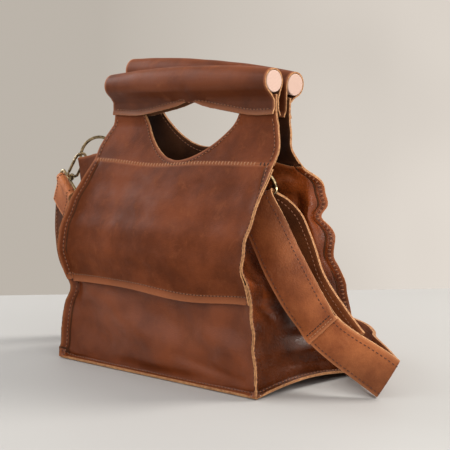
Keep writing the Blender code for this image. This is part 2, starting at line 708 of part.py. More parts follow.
collar_bottom = eye_height + hook_wire + hardware_gap
collar_top = collar_bottom + collar_height
eye_bars = {}
for side, hanger in hangers.items():
    wire, along, up, out = ring_tab(side, hanger)
    lean = ring_lean(side, hanger, wire, along, up, out)
    rise = up * math.cos(lean) + out * math.sin(lean)
    path = arc(0, ring_rise, ring_radius, -ring_gap_angle, 180 + ring_gap_angle, 25)
    corner = (ring_radius * math.cos(math.radians(ring_gap_angle)) + ring_bar_half_length) / 2
    ring_path = [(-corner, 0, ring_wire / 2), (-ring_bar_half_length, 0, 0), (0, 0, 0),
                 (ring_bar_half_length, 0, 0), (corner, 0, ring_wire / 2)] + path
    ring = tube(side + "_ring", ring_path, ring_wire, closed=True)
    ring.matrix_world = frame_at(wire, along, rise)

    # The hook turns on its swivel until its loop faces along the ring's wire.
    hold = hanger["hold"]
    contact = wire + rise * ring_rise + ring_radius * (math.cos(hold) * along + math.sin(hold) * rise)
    tangent = math.cos(hold) * rise - math.sin(hold) * along
    axis = unit(hanger["axis"])
    slope = float(np.dot(tangent, axis))
    clearance = (ring_wire + hook_wire + hardware_gap) / math.sqrt(1 - slope ** 2)
    bar_middle = contact - (hook_length - clearance) * axis
    eye_frame = frame_at(bar_middle, hanger["bar"], axis)
    brass_eye(side, eye_frame)
    facing = tangent - slope * axis
    swivel_hook(side, frame_at(bar_middle, np.cross(facing, axis), axis))
    eye_bars[side] = (bar_middle, np.array(eye_frame.col[0][:3]))


# Strap
strap_bend = hook_wire + hardware_gap + strap_ply + seam_gap / 2
strap_offsets = (seam_gap / 2, seam_gap / 2 + strap_ply)
strap_joint_share = 0.3


def lapped_round(middle, bar, drop):
    # The strap's way up in front of a bar, over it and down behind, its turned end lapped on the front.
    down = unit(np.array([0, 0, -1]) + bar[2] * bar)
    behind = np.cross(bar, down)
    section = teardrop(0, strap_ply + seam_gap, strap_bend, 2 * strap_bend, (drop, drop), 9)
    points = middle + section[:, :1] * behind + section[:, 1:] * -down
    return points, np.broadcast_to(bar, points.shape)


def open_round(middle, bar, from_below, to_below):
    # The strap's way over a bar, from one place below it to another further back.
    ways = [unit(np.subtract(place, middle) - np.dot(np.subtract(place, middle), bar) * bar)
            for place in (from_below, to_below)]
    behind = np.cross(bar, ways[0])
    opening = math.acos(np.dot(*ways))
    angles = np.linspace(math.pi, opening, 8)[:, None]
    points = middle + strap_bend * (np.cos(angles) * behind - np.sin(angles) * ways[0])
    return points, np.broadcast_to(bar, points.shape)


def on_floor(place, lean_over, heading):
    # A station of the band on the floor, leant up from lying flat about its way.
    lean = math.radians(lean_over)
    right_hand = unit((heading[1], -heading[0], 0))
    height = (seam_gap + abs(math.cos(lean)) * (strap_ply + seam_gap) + math.sin(lean) * strap_width / 2)
    return np.array([*place, height]), right_hand * math.cos(lean) + np.array([0, 0, math.sin(lean)])


def along_stations(points, directions, spacing):
    # A smooth way through the stations, with rows an even distance apart.
    points, directions = np.array(points), np.array([unit(d) for d in directions])
    lengths = np.concatenate([[0], np.cumsum(np.linalg.norm(np.diff(points, axis=0), axis=1))])
    at = np.linspace(0, lengths[-1], int(round(lengths[-1] / spacing)) + 1)
    way = np.column_stack([smooth_through(lengths, points[:, k], at) for k in range(3)])
    across = np.column_stack([smooth_through(lengths, directions[:, k], at) for k in range(3)])
    return way, across


def beside_body(table):
    # The stations of a table, their places turned from shares of the body into metres.
    body = (base_half_width, base_half_depth, neck_height)
    return [(np.multiply(place, body[:len(place)]), direction) for place, direction in table]


to_front, to_back = beside_body(front_run), beside_body(back_run)
left_loop, left_across = lapped_round(*eye_bars["left"], strap_turn_length)
right_loop, right_across = open_round(*eye_bars["right"], to_front[-1][0], to_back[0][0])
on_ground = beside_body(floor_run)
headings = np.gradient(np.array([place for place, lean in on_ground]), axis=0)
floor_stations = [on_floor(place, lean, heading) for (place, lean), heading in zip(on_ground, headings)]

fold_in = unit(strap_fold_from)
(fold_middle, fold_line), = beside_body([(strap_fold, strap_fold_line)])
fold_out = unit(to_front[0][0] - fold_middle)
stations = [(left_loop[-1], left_across[-1])] + beside_body(left_hang) + floor_stations
stations += beside_body(to_fold_run) + [(fold_middle - fold_in * 2 * strap_fold_radius, fold_line)]
to_fold, to_fold_across = along_stations(*zip(*stations), strap_width / 3)
fold = bezier(to_fold[-1], fold_middle, fold_middle, fold_middle + fold_out * 2 * strap_fold_radius, 7)
stations = [(fold[-1], fold_line)] + to_front + [(right_loop[0], right_across[0])]
up_front, up_front_across = along_stations(*zip(*stations), strap_width / 2)
stations = [(right_loop[-1], right_across[-1])] + to_back
down_back, down_back_across = along_stations(*zip(*stations), strap_width / 2)

way = np.concatenate([left_loop, to_fold[1:], fold[1:-1], up_front, right_loop[1:], down_back[1:]])
fold_across = np.broadcast_to(unit(strap_fold_line), fold[1:-1].shape)
across = np.concatenate([left_across, to_fold_across[1:], fold_across, up_front_across, right_across[1:],
                         down_back_across[1:]])
across /= np.linalg.norm(across, axis=1, keepdims=True)

# Where the band would dip under the floor between its stations, it is lifted to lie on it.
flatness = np.linalg.norm(across[:, :2], axis=1)
lower_edge = way[:, 2] - np.abs(across[:, 2]) * strap_width / 2
way[:, 2] += np.maximum(0, seam_gap + flatness * (strap_ply + seam_gap) - lower_edge)
shares = np.linspace(-strap_width / 2, strap_width / 2, 3)
band = way[:, None] + across[:, None] * shares[None, :, None]

# The outer ply is pieced from a long and a short strip, whose ends meet on the way up the front.
before_joint = len(left_loop) + len(to_fold) + len(fold)
step = band[before_joint + 1] - band[before_joint]
joint = band[before_joint] + step * strap_joint_share
apart = unit(way[before_joint + 1] - way[before_joint]) * seam_gap
long_band = np.concatenate([band[:before_joint + 1], [joint - apart / 2]])
short_band = np.concatenate([[joint + apart / 2], band[before_joint + 1:]])
leather_sheet("strap_lining", band, -seam_gap / 2 - strap_ply, -seam_gap / 2, leather_dark)
leather_sheet("strap_long_ply", long_band, *strap_offsets, leather_lit)
leather_sheet("strap_short_ply", short_band, *strap_offsets, leather_lit)
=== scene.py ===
import math

import bpy
import numpy as np
from mathutils import Matrix


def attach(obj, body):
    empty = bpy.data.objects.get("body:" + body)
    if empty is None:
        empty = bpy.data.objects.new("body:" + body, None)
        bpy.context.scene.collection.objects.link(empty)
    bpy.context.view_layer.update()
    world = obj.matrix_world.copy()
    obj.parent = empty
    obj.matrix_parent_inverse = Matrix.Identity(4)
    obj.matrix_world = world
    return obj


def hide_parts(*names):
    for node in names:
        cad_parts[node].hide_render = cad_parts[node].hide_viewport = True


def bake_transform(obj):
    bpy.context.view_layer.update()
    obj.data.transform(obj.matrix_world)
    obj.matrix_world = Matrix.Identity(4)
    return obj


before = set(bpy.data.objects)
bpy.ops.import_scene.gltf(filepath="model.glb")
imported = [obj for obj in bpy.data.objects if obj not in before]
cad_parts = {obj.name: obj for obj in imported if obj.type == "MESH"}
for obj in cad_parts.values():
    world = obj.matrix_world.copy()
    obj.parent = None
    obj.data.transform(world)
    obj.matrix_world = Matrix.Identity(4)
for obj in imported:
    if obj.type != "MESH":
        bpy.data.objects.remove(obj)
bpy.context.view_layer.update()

# Small tools for shapes, objects and shader nodes.
def unit(vector):
    # Divided by its length, the root of the sum of its squares.
    vector = np.asarray(vector, float)
    return vector / np.linalg.norm(vector, axis=-1, keepdims=True)


def travelled(points):
    # The length along a line of points up to each of them.
    return np.concatenate([[0], np.cumsum(np.linalg.norm(np.diff(points, axis=0), axis=1))])


def ease(t):
    # A smooth step from 0 to 1: three squares less two cubes.
    t = np.clip(t, 0, 1)
    return t * t * (3 - 2 * t)


def bellCurve(value, middle, spread):
    # One at the middle, falling off with the square of the distance in spreads.
    return np.exp(-((value - middle) / spread) ** 2)


def standing(*axesAndPlace):
    # The matrix whose columns are three axes and a place.
    return Matrix(np.vstack([np.column_stack(axesAndPlace), (0, 0, 0, 1)]))


def linked(name, data):
    # A new object in the scene.
    made = bpy.data.objects.new(name, data)
    bpy.context.scene.collection.objects.link(made)
    return made


def put(tree, kind, inputs=None, **settings):
    # One shader node; an input takes a value or another node's output.
    made = tree.nodes.new("ShaderNode" + kind)
    for key, value in settings.items():
        setattr(made, key, value)
    for key, value in (inputs or {}).items():
        if isinstance(value, bpy.types.NodeSocket):
            tree.links.new(value, made.inputs[key])
        else:
            made.inputs[key].default_value = value
    return made


def noise(tree, place, scale, detail, **more):
    # Soft noise whose clouds are one part in scale wide.
    return put(tree, "TexNoise", {"Vector": place, "Scale": scale, "Detail": detail, **more}).outputs["Fac"]


def ranged(tree, value, low, high, toLow=0.0, toHigh=1.0):
    # A value carried over from one range to another and held at both ends.
    return put(tree, "MapRange", {"Value": value, "From Min": low, "From Max": high,
                                  "To Min": toLow, "To Max": toHigh}).outputs["Result"]


def computed(tree, first, second, operation):
    # The sum, product or other operation on two values.
    return put(tree, "Math", {0: first, 1: second}, operation=operation).outputs[0]


def mixed(tree, factor, first, second, **settings):
    # The first colour where the factor is 0 and the second where it is 1.
    return put(tree, "Mix", {"Factor": factor, 6: first, 7: second}, data_type="RGBA", **settings).outputs[2]


def newMaterial(name):
    # An empty material, with its node tree and its shader.
    material = bpy.data.materials.new(name)
    material.use_nodes = True
    tree = material.node_tree
    return material, tree, tree.nodes["Principled BSDF"]


def rampMaterial(name, pattern, stops, colours, roughness, metallic=0.0, relief=None):
    # Two colours laid along the value of a pattern, which also gives the relief as a strength and a depth.
    material, tree, shader = newMaterial(name)
    value = pattern(tree, put(tree, "TexCoord").outputs["Object"])
    ramp = put(tree, "ValToRGB", {"Fac": value})
    for element, stop, colour in zip(ramp.color_ramp.elements, stops, colours):
        element.position, element.color = stop, (*colour, 1)
    tree.links.new(ramp.outputs["Color"], shader.inputs["Base Color"])
    if relief:
        bump = put(tree, "Bump", {"Height": value, "Strength": relief[0], "Distance": relief[1]})
        tree.links.new(bump.outputs["Normal"], shader.inputs["Normal"])
    shader.inputs["Roughness"].default_value, shader.inputs["Metallic"].default_value = roughness, metallic
    return material


# Camera, light and floor. Places and sizes in metres, turns in degrees.
view = {"place": (0.8863, -0.8407, 0.2583), "azimuth": 45.462, "down": 5.5202, "roll": -0.9065, "lens": 99.55,
        "sensor": 36, "aim": (0, 0, 0.12)}
lamps = {
    "window": {"place": (0.75, 0.95, 1.35), "power": 24.0, "size": 0.7, "colour": (1.0, 0.96, 0.91)},
    "side": {"place": (1.55, -0.50, 0.85), "power": 15.0, "size": 1.2, "colour": (1.0, 0.97, 0.93)},
    "room": {"place": (-0.55, -1.6, 0.9), "power": 7.5, "size": 1.4, "colour": (0.98, 0.98, 1.0)},
    "left": {"place": (-1.25, -0.15, 0.75), "power": 6.5, "size": 0.6, "colour": (0.95, 0.97, 1.0)},
}
# The wall's left and right colours paint the window light: darker at the left, brighter at the right.
wall = {"left": (0.500, 0.455, 0.400), "right": (1.02, 0.94, 0.86), "turn": (-0.12, 0.14), "drift": 3.5,
        "shift": -0.05, "skyColour": (1.0, 0.97, 0.94), "skyLight": 0.70}
table = {"near": -2.2, "far": 0.487, "halfWidth": 2.6, "colour": (0.452, 0.448, 0.436), "shades": (0.94, 1.05),
         "cloud": 2.0, "roughness": 0.55}


def turned(azimuth, down, roll):
    # Looking along the azimuth, tipped down, then rolled about the line of sight.
    a, p, r = (math.radians(v) for v in (azimuth, down, roll))
    forward = np.array([-math.sin(a) * math.cos(p), math.cos(a) * math.cos(p), -math.sin(p)])
    right = np.array([math.cos(a), math.sin(a), 0])
    up = np.cross(right, forward)
    across = right * math.cos(r) + up * math.sin(r)
    return across, up * math.cos(r) - right * math.sin(r), forward


camera = linked("camera", bpy.data.cameras.new("camera"))
across, up, forward = turned(view["azimuth"], view["down"], view["roll"])
camera.matrix_world = standing(across, up, -forward, view["place"])
camera.data.lens, camera.data.sensor_width = view["lens"], view["sensor"]
bpy.context.scene.camera = camera
bpy.context.scene.view_settings.view_transform = "Standard"
for name, values in lamps.items():
    lamp = linked(name, bpy.data.lights.new(name, "AREA"))
    lamp.data.energy, lamp.data.size, lamp.data.color = values["power"], values["size"], values["colour"]
    back = unit(np.subtract(values["place"], view["aim"]))
    side = unit(np.cross((0, 0, 1), back))
    lamp.matrix_world = standing(side, np.cross(back, side), back, values["place"])


def roomWorld():
    # The camera and reflections see a wall with painted light: darker at the left and brighter at the right,
    # with a soft cloudy drift; the light is a plain sky.
    world = bpy.data.worlds.new("room")
    bpy.context.scene.world = world
    world.use_nodes = True
    tree = world.node_tree
    rays = put(tree, "LightPath")
    seen = computed(tree, rays.outputs["Is Camera Ray"], rays.outputs["Is Glossy Ray"], "MAXIMUM")
    plain = tree.nodes["Background"]
    plain.inputs["Color"].default_value = (*wall["skyColour"], 1)
    plain.inputs["Strength"].default_value = wall["skyLight"]
    ahead = put(tree, "TexCoord").outputs["Generated"]
    rightward = put(tree, "VectorMath", {0: ahead, 1: tuple(across)}, operation="DOT_PRODUCT").outputs["Value"]
    share, drift = ranged(tree, rightward, *wall["turn"]), noise(tree, ahead, wall["drift"], 2.0)
    moved = put(tree, "Math", {0: share, 1: drift, 2: wall["shift"]}, operation="MULTIPLY_ADD").outputs[0]
    paintedWallLight = mixed(tree, moved, (*wall["left"], 1), (*wall["right"], 1))
    far = put(tree, "Background", {"Color": paintedWallLight, "Strength": 1.0})
    both = put(tree, "MixShader", {0: seen, 1: plain.outputs[0], 2: far.outputs[0]})
    tree.links.new(both.outputs[0], tree.nodes["World Output"].inputs["Surface"])


def tableTop():
    # A flat rectangle turned to face the camera, its far edge behind the bag.
    a = math.radians(view["azimuth"])
    ahead, side = np.array([-math.sin(a), math.cos(a), 0]), np.array([math.cos(a), math.sin(a), 0])
    mesh = bpy.data.meshes.new("table")
    mesh.from_pydata([tuple(ahead * table[f] + side * s * table["halfWidth"])
                      for f, s in (("near", -1), ("near", 1), ("far", 1), ("far", -1))], [], [(0, 1, 2, 3)])
    colours = [shade * np.array(table["colour"]) for shade in table["shades"]]
    mesh.materials.append(rampMaterial("table", lambda *at: noise(*at, table["cloud"], 2.0), (0, 1), colours,
                                       table["roughness"]))
    linked("table", mesh)


roomWorld()
tableTop()
print("camera, lamps and table set")

# The leather pieces: plies, levels, widths and depths at the levels, then folds of the soft edges.
body = {
    "ply": 0.0018, "handlePly": 0.0014, "gap": 0.0004, "rawEdge": 0.009,
    "hem": 0.0835, "hemLap": 0.018, "belly": 0.120, "shoulder": 0.172, "neck": 0.204, "arch": 0.0075,
    "halfWidths": (0.141, 0.1325, 0.1315, 0.1305, 0.1263),
    "frontDepths": (0.0725, 0.0690, 0.0785, 0.0555, 0.0310, 0.0125),
    "backDepths": (0.0745, 0.0600, 0.0465, 0.0350, 0.0140, 0.0058),
    "frontSwell": 0.004, "lowerSwell": 0.001,
    "edgeWave": 0.0007, "edgeWaveLength": 0.0235, "edgeWaveFades": (0.012, 0.020, 0.030),
    "layer": 0.0013, "layerRamp": 0.010, "valley": (0.0092, 0.0019, 0.0009),
    "hemFlare": (0.0085, 0.0036, 0.35, 47, 0.6), "flareFade": 0.012, "hemRubAndLight": 0.34,
    "hemSag": (0.055, 0.050, 0.0046, 0.025), "neckSag": (-0.035, 0.050, 0.0040, 0.022),
    "hemStitch": 0.0066, "stitch": 0.0056, "laceInset": 0.0042,
    "soft": {"lower": 0.0016, "upper": 0.0011}, "puckerReach": 0.020,
    "puckers": {
        "backRight": ((0.2165, -0.0110, 0.0155), (0.198, -0.0030, 0.006), (0.185, 0.0042, 0.009),
                      (0.153, -0.0082, 0.008), (0.133, 0.0020, 0.008), (0.114, -0.0026, 0.009),
                      (0.088, 0.0022, 0.009)),
        "frontLeft": ((0.073, -0.0055, 0.010), (0.045, 0.0012, 0.014)),
        "frontRight": ((0.110, 0.0014, 0.008), (0.060, 0.0012, 0.009), (0.020, 0.0020, 0.010)),
    },
}
gusset = {
    "overhang": 0.0008, "soft": 0.0016, "hold": 0.0095, "fade": 0.007,
    # The right gusset takes the gusset tone, painted darker low down and lighter high up; the left one takes
    # the panel's.
    "right": {"foldX": (0.1310, 0.1120, 0.0800, 0.0420, 0.0360), "foldY": -0.0090,
              "roundness": (0.62, 0.35), "topRises": (0.0030, 0.0080), "tone": "gusset"},
    "left": {"foldX": (0.1310, 0.1290, 0.1360, 0.1660, 0.1760), "foldY": -0.0150,
             "roundness": (0.40, 0.40), "topRises": (0.0140, 0.0030), "tone": "panel"},
}
handle = {
    "rod": 0.0100, "sleeveHalf": 0.1135, "sleeveDrop": 0.0307, "pinch": (0.0150, 0.03, 0.33, 1.15),
    "flapWave": 0.0010, "tongueDrop": 0.0120, "sleeveStitch": 0.0052, "yokeStitch": 0.0050, "flapRub": 0.50,
    "ladderInset": 0.0004,
    "sleeveFlare": (0.0060, 0.0016, 0.4, 70, 0.0), "soft": 0.0004, "hold": 0.001, "fade": 0.006,
    "crown": 0.0050, "holeHalf": 0.0715, "holePower": 1.75, "topHalf": 0.1145, "taper": (0.0135, 0.0400),
    "bend": (0.2040, 0.2160),
    "front": {"y": -0.0153, "z": 0.2790, "tilt": 0.0, "hole": 0.0035},
    "back": {"y": 0.0134, "z": 0.2856, "tilt": math.radians(5.1), "hole": 0.0150},
}
guideFloor = body["ply"] + body["gap"] / 2
innerFace = 0.00006
levels = (guideFloor, body["hem"], body["belly"], body["shoulder"], body["neck"])
outerFaces = (innerFace, 0.00118)
depthsOf = {"front": body["frontDepths"], "back": body["backDepths"]}


def smoothThrough(places, values, at):
    # A cubic between stations whose slope at each is the mean of its neighbours' slopes.
    places, values, at = (np.asarray(v, float) for v in (places, values, at))
    wide = (...,) + (None,) * (values.ndim - 1)
    steps = np.diff(values, axis=0) / np.diff(places)[wide]
    slopes = np.concatenate([steps[:1], (steps[1:] + steps[:-1]) / 2, steps[-1:]])
    index = np.clip(np.searchsorted(places, at, side="right") - 1, 0, len(places) - 2)
    span = (places[index + 1] - places[index])[wide]
    t = (at - places[index])[wide] / span
    rise = values[index + 1] - values[index]
    a, b = span * slopes[index], span * slopes[index + 1]
    return values[index] + t * a + t * t * (3 * rise - 2 * a - b) + t ** 3 * (a + b - 2 * rise)


def bezier(start, pullStart, pullEnd, end, count):
    # The weights are the four terms of ((1 - t) + t) cubed.
    t = np.linspace(0, 1, count)[:, None]
    left = 1 - t
    return left ** 3 * start + 3 * left * left * t * pullStart + 3 * left * t * t * pullEnd + t ** 3 * end


def edgeWave(z):
    # The raw side edges wander a little: two sine waves that fade out at the floor and the neck.
    turn = 2 * math.pi * z / body["edgeWaveLength"]
    start, rise, fall = body["edgeWaveFades"]
    fade = ease((z - start) / rise) * ease((body["neck"] - z) / fall)
    return body["edgeWave"] * fade * (np.sin(turn) + 0.7 * np.sin(1.9 * turn + 1.3))


def halfWidthAt(z):
    # The side edge's distance from the middle: through the stations, plus the edge's wave.
    return float(smoothThrough(levels, body["halfWidths"], z)) + edgeWave(z)


def depthAt(side, z):
    # The edge's distance from the middle plane: through the stations up to the sleeve, plus the wave.
    tongue = handle[side]["z"] - handle["sleeveDrop"] - body["rawEdge"]
    return smoothThrough(levels + (tongue,), depthsOf[side], np.minimum(z, tongue)) + edgeWave(z + 0.007)


corner = math.radians(45)
bottomAngles = (0, corner / 2, corner, corner)
cornerColumns = 3
curveColumns = 8
turn = body["rawEdge"] / 3


def flangeAngle(z):
    # Flanges turn from 45 degrees at the shoulder to flat at the neck by a smooth step.
    return corner * (1 - ease((z - body["shoulder"]) / (body["neck"] - body["shoulder"])))


def halfRow(tip, root, curve, edgeZ, middleZ):
    # A straight flange and then the curve. Heights go over from the edge's to the middle's by a smooth step.
    half = np.concatenate([np.linspace(tip, root, cornerColumns)[:-1], curve])
    height = middleZ + (edgeZ - middleZ) * (1 - ease(np.arange(len(half)) / cornerColumns))
    return np.column_stack([half, height])


def wallRow(edgeZ, middleZ, halfWidth, tipDepth, middleDepth, angle):
    # One level of a wall: two straight flanges and a curve bulging between them.
    tip = np.array([halfWidth, tipDepth])
    flange = np.array([math.cos(angle), math.sin(angle)])
    root = tip - body["rawEdge"] * flange
    middle, hand = np.array([0, middleDepth]), np.array([root[0] / 3, middleDepth])
    curve = bezier(root, root - flange * body["rawEdge"], hand, middle, curveColumns)
    half = halfRow(tip, root, curve, edgeZ, middleZ)
    return np.concatenate([half * (-1, 1, 1), half[-2::-1]])


def bottomRows(side):
    # The lowest rows, which turn in over the base by a third of the raw edge each.
    depth, raw = depthsOf[side][0], body["rawEdge"]
    middles = ((0, depth), (0, depth - raw / 2), (body["gap"], depth - raw), (turn, depth - raw - turn / 2))
    return [(guideFloor + k * turn, guideFloor + rise, body["halfWidths"][0], depth, middle, angle)
            for k, ((rise, middle), angle) in enumerate(zip(middles, bottomAngles))]


def wallRows(side, swell, heights):
    # Rows up the wall; the middle swells out by half a sine wave between the floor and the neck.
    rows = []
    for z in heights:
        tip = depthAt(side, z)
        middle = tip - body["rawEdge"] * math.sin(flangeAngle(z)) + swell * math.sin(math.pi * z / body["neck"])
        rows.append((z, z, halfWidthAt(z), tip, middle, flangeAngle(z)))
    return rows


def floorLift(x, y):
    # The floor line arches at both ends: half a sine wave of y, times a smooth step of x.
    front, back = body["frontDepths"][0], body["backDepths"][0]
    share = np.clip((y + front) / (front + back), 0, 1)
    return body["arch"] * np.sin(math.pi * share) * ease(2 * np.abs(x) / body["halfWidths"][0] - 1)


def bowed(guide):
    # The floor arch, fading by a smooth step up to the hem.
    bent = guide.copy()
    bent[..., 2] += floorLift(guide[..., 0], guide[..., 1]) * (1 - ease(guide[..., 2] / body["hem"]))
    return bent


def wallGuide(rows, outward):
    # Rows as one grid whose normals point outwards.
    guide = np.array([wallRow(*row) for row in rows])
    guide[..., 1] *= outward
    return bowed(guide if outward < 0 else guide[:, ::-1])


def gussetRow(edgeZ, middleZ, halfWidth, frontTip, backTip, fold, roundness, angle):
    # One level of the right gusset: in from the front edge to the fold line and out to the back edge.
    halves = []
    for tipY, outward, fullness in ((-frontTip, -1, roundness[0]), (backTip, 1, roundness[1])):
        tip = np.array([halfWidth, tipY])
        flange = np.array([math.cos(angle), outward * math.sin(angle)])
        root = tip - body["rawEdge"] * flange
        turned = ease((fold[0] - root[0]) / (4 * body["rawEdge"]))
        hand = np.array([min(fold[0], root[0]), fold[1] + (root[1] - fold[1]) * fullness])
        curve = bezier(root, root - flange * body["rawEdge"] * (1 + turned), hand, fold, curveColumns)
        halves.append(halfRow(tip, root, curve, edgeZ, middleZ))
    return np.concatenate([halves[0], halves[1][-2::-1]])


def gussetGuide(values, heights):
    # The fold line runs through its stations; the top edge rises from the seams to the fold by a straight line.
    raw, width = body["rawEdge"], body["halfWidths"][0]
    middles = ((0, 0), (0, raw / 2), (body["gap"], raw), (turn, raw + turn / 2))
    rows = [gussetRow(guideFloor + k * turn, guideFloor + rise, width, body["frontDepths"][0],
                      body["backDepths"][0], np.array([width - inset, 0]), values["roundness"],
                      math.radians(90) - angle)
            for k, ((rise, inset), angle) in enumerate(zip(middles, bottomAngles))]
    for z in heights:
        share = ease((z - heights[0]) / (body["hem"] - heights[0]))
        fold = np.array([float(smoothThrough(levels, values["foldX"], z)), values["foldY"] * share])
        narrowing = 1 - ease((z - body["shoulder"]) / (body["neck"] - body["shoulder"])) / 2
        rows.append(gussetRow(z, z, halfWidthAt(z), depthAt("front", z), depthAt("back", z), fold,
                              np.multiply(values["roundness"], narrowing), flangeAngle(z)))
    guide = np.array(rows)
    guide[-1] += (guide[-2] - guide[-1]) * 1.5 * body["ply"] / (heights[-1] - heights[-2])
    along = travelled(guide[-1]) - raw
    fromSeam = np.minimum(along, along[-1] - raw - along)
    near, far = values["topRises"]
    crest = ease(fromSeam / (1.5 * raw) - 1) * (near + (far - near) * fromSeam / fromSeam[guide.shape[1] // 2])
    guide[..., 2] += crest * ease((guide[..., 2] - body["shoulder"]) / (body["neck"] - body["shoulder"]))
    return bowed(guide)


def yokeGuide(side, outward):
    # Levels shrink towards the hand hole that dips in from the top; the ends taper towards the sleeve.
    values = handle[side]
    topZ, startZ = values["z"] - handle["tongueDrop"], body["neck"] - body["gap"] / 2
    angles = np.linspace(-math.pi / 2, math.pi / 2, 33)
    dip = (1 - np.abs(np.sin(angles)) ** handle["holePower"]) ** (1 / handle["holePower"])
    arm = np.linspace(0, 1, 9)[:-1]
    flat = np.full(len(arm), topZ)
    tops = np.concatenate([flat, topZ - (topZ - body["neck"] - values["hole"]) * dip, flat])
    shares = np.linspace(0, 1, 19)[:, None]
    z = startZ + shares * (tops - startZ)
    ends = (0, *handle["taper"], topZ - body["neck"] + body["rawEdge"])
    halfWidths = np.repeat([body["halfWidths"][-1], handle["topHalf"]], 2)
    edge = smoothThrough(ends, halfWidths, z[:, 0] - body["neck"])[:, None]
    left = -edge + (edge - handle["holeHalf"]) * arm
    hole = np.broadcast_to(handle["holeHalf"] * np.sin(angles), (len(shares), len(angles)))
    x = np.concatenate([left, hole, -left[:, ::-1]], axis=1)
    y = outward * depthAt(side, z)
    z = z - math.tan(values["tilt"]) * x * (z - body["neck"]) / (topZ - body["neck"])
    guide = np.stack([x, y, z], axis=2)
    return guide if outward < 0 else guide[:, ::-1]


def teardrop(shift, halfGap, radius, neckDrop, drops, count):
    # Two straight flaps joined by two tangents and an arc round a rod at the origin. A tangent from a point
    # touches the rod at the point's own angle plus or minus the arc cosine of radius over distance.
    ends = []
    for side in (-1, 1):
        flap = np.array([shift + side * halfGap, -neckDrop])
        angle = math.atan2(flap[1], flap[0]) % (2 * math.pi) + side * math.acos(radius / np.linalg.norm(flap))
        ends.append((flap, angle))
    (first, start), (second, stop) = ends
    angles = np.linspace(start, stop - 2 * math.pi, count)
    aroundRod = radius * np.column_stack([np.cos(angles), np.sin(angles)])
    rise = np.linspace(drops[0] - neckDrop, 0, 5)[:, None]
    fall = np.linspace(0, drops[1] - neckDrop, 5)[:, None]
    return np.concatenate([first - rise * (0, 1), aroundRod, second - fall * (0, 1)])


def sleeveGuide(side, outward):
    # A teardrop section at each step along the rod. The flaps are shorter over the hand hole by the exponential
    # of minus a power of the distance from its middle, and the leather over the rod is crowned by a parabola.
    values = handle[side]
    depth, middle, spread, power = handle["pinch"]
    wrap = handle["rod"] + body["gap"] + body["handlePly"] / 2
    flap = 1.5 * (body["handlePly"] + body["gap"])
    rows = []
    for share in np.linspace(-1, 1, 61):
        pinch = math.exp(-(abs(share - middle) / spread) ** power)
        drop = handle["sleeveDrop"] - depth * pinch + handle["flapWave"] * math.sin(9 * share + 1) * (1 - pinch)
        section = teardrop(outward * depthsOf[side][-1] - values["y"], flap, wrap, 1.5 * wrap,
                           (drop, drop + body["handlePly"]), 31)
        raised = np.clip(section[:, 1] / wrap, 0, 1) * handle["crown"] * (1 - share ** 2)
        rows.append(np.column_stack([np.full(len(section), share * handle["sleeveHalf"]), section[:, 0],
                                     section[:, 1] + raised]))
    guide = np.array(rows)
    x, z = guide[..., 0].copy(), guide[..., 2].copy()
    tilt = values["tilt"]
    guide[..., 0] = x * math.cos(tilt) + z * math.sin(tilt)
    guide[..., 2] = z * math.cos(tilt) - x * math.sin(tilt) + values["z"]
    guide[..., 1] += values["y"]
    return guide


def surfaceNormals(guide):
    # The cross product of the grid's two directions.
    return unit(np.cross(np.gradient(guide, axis=1), np.gradient(guide, axis=0)))


def refined(guide, rowSteps, columnSteps):
    # A finer grid through the same points: smooth curves down the columns, then along the rows.
    for axis, steps in ((0, rowSteps), (1, columnSteps)):
        lines = np.moveaxis(guide, axis, 0)
        gaps = np.linalg.norm(np.diff(lines, axis=0), axis=-1).mean(axis=1)
        places = np.concatenate([[0], np.cumsum(gaps)])
        at = np.interp(np.linspace(0, len(gaps), len(gaps) * steps + 1), np.arange(len(places)), places)
        guide = np.moveaxis(smoothThrough(places, lines, at), 0, axis)
    return guide


def alongRows(values, steps):
    # Values given for each coarse row, spread over the rows of the finer grid.
    rows = np.arange(len(values))
    return np.interp(np.linspace(0, rows[-1], rows[-1] * steps + 1), rows, values)


def edgeDistances(guide):
    # How far each point lies from each of the four cut edges, measured along the grid.
    down = np.cumsum(np.linalg.norm(np.diff(guide, axis=0), axis=2), axis=0)
    over = np.cumsum(np.linalg.norm(np.diff(guide, axis=1), axis=2), axis=1)
    v = np.concatenate([np.zeros((1, guide.shape[1])), down])
    u = np.concatenate([np.zeros((guide.shape[0], 1)), over], axis=1)
    return {"left": u, "right": u[:, -1:] - u, "low": v, "high": v[-1:] - v}


def puckered(guide, side, outward):
    # Near a corner seam the leather goes in and out along the diagonal: a sum of bell curves of the height,
    # fading with the square of the distance to the seam.
    x, y, z = np.moveaxis(guide, 2, 0)
    moved = guide.copy()
    for name, waves in body["puckers"].items():
        if not name.startswith(side):
            continue
        sign = 1 if name.endswith("Right") else -1
        seamX = sign * smoothThrough(levels, body["halfWidths"], np.clip(z, 0, body["neck"]))
        seamY = outward * smoothThrough(levels, depthsOf[side][:-1], np.clip(z, 0, body["neck"]))
        away = np.hypot(x - seamX, y - seamY)
        amount = sum(height * bellCurve(z, level, spread) for level, height, spread in waves)
        amount = amount * bellCurve(away, 0, body["puckerReach"]) / math.sqrt(2)
        moved[..., 0] += sign * amount
        moved[..., 1] += outward * amount
    return moved


def sagged(guide, values, level):
    # The seam at one height dips by a bell curve of x times a bell curve of the distance from that height.
    middle, spread, drop, reach = values
    moved = guide.copy()
    moved[..., 2] -= drop * bellCurve(guide[..., 0], middle, spread) * bellCurve(guide[..., 2], level, reach)
    return moved


def seamValleys(guide, edges):
    # Beside each sewn edge the leather sinks along a line next to the stitches: a bell curve of the distance.
    away = edgeDistances(guide)
    place, spread, depth = body["valley"]
    sink = sum(depth * bellCurve(away[edge], place, spread) for edge in edges)
    return guide - surfaceNormals(guide) * sink[..., None]


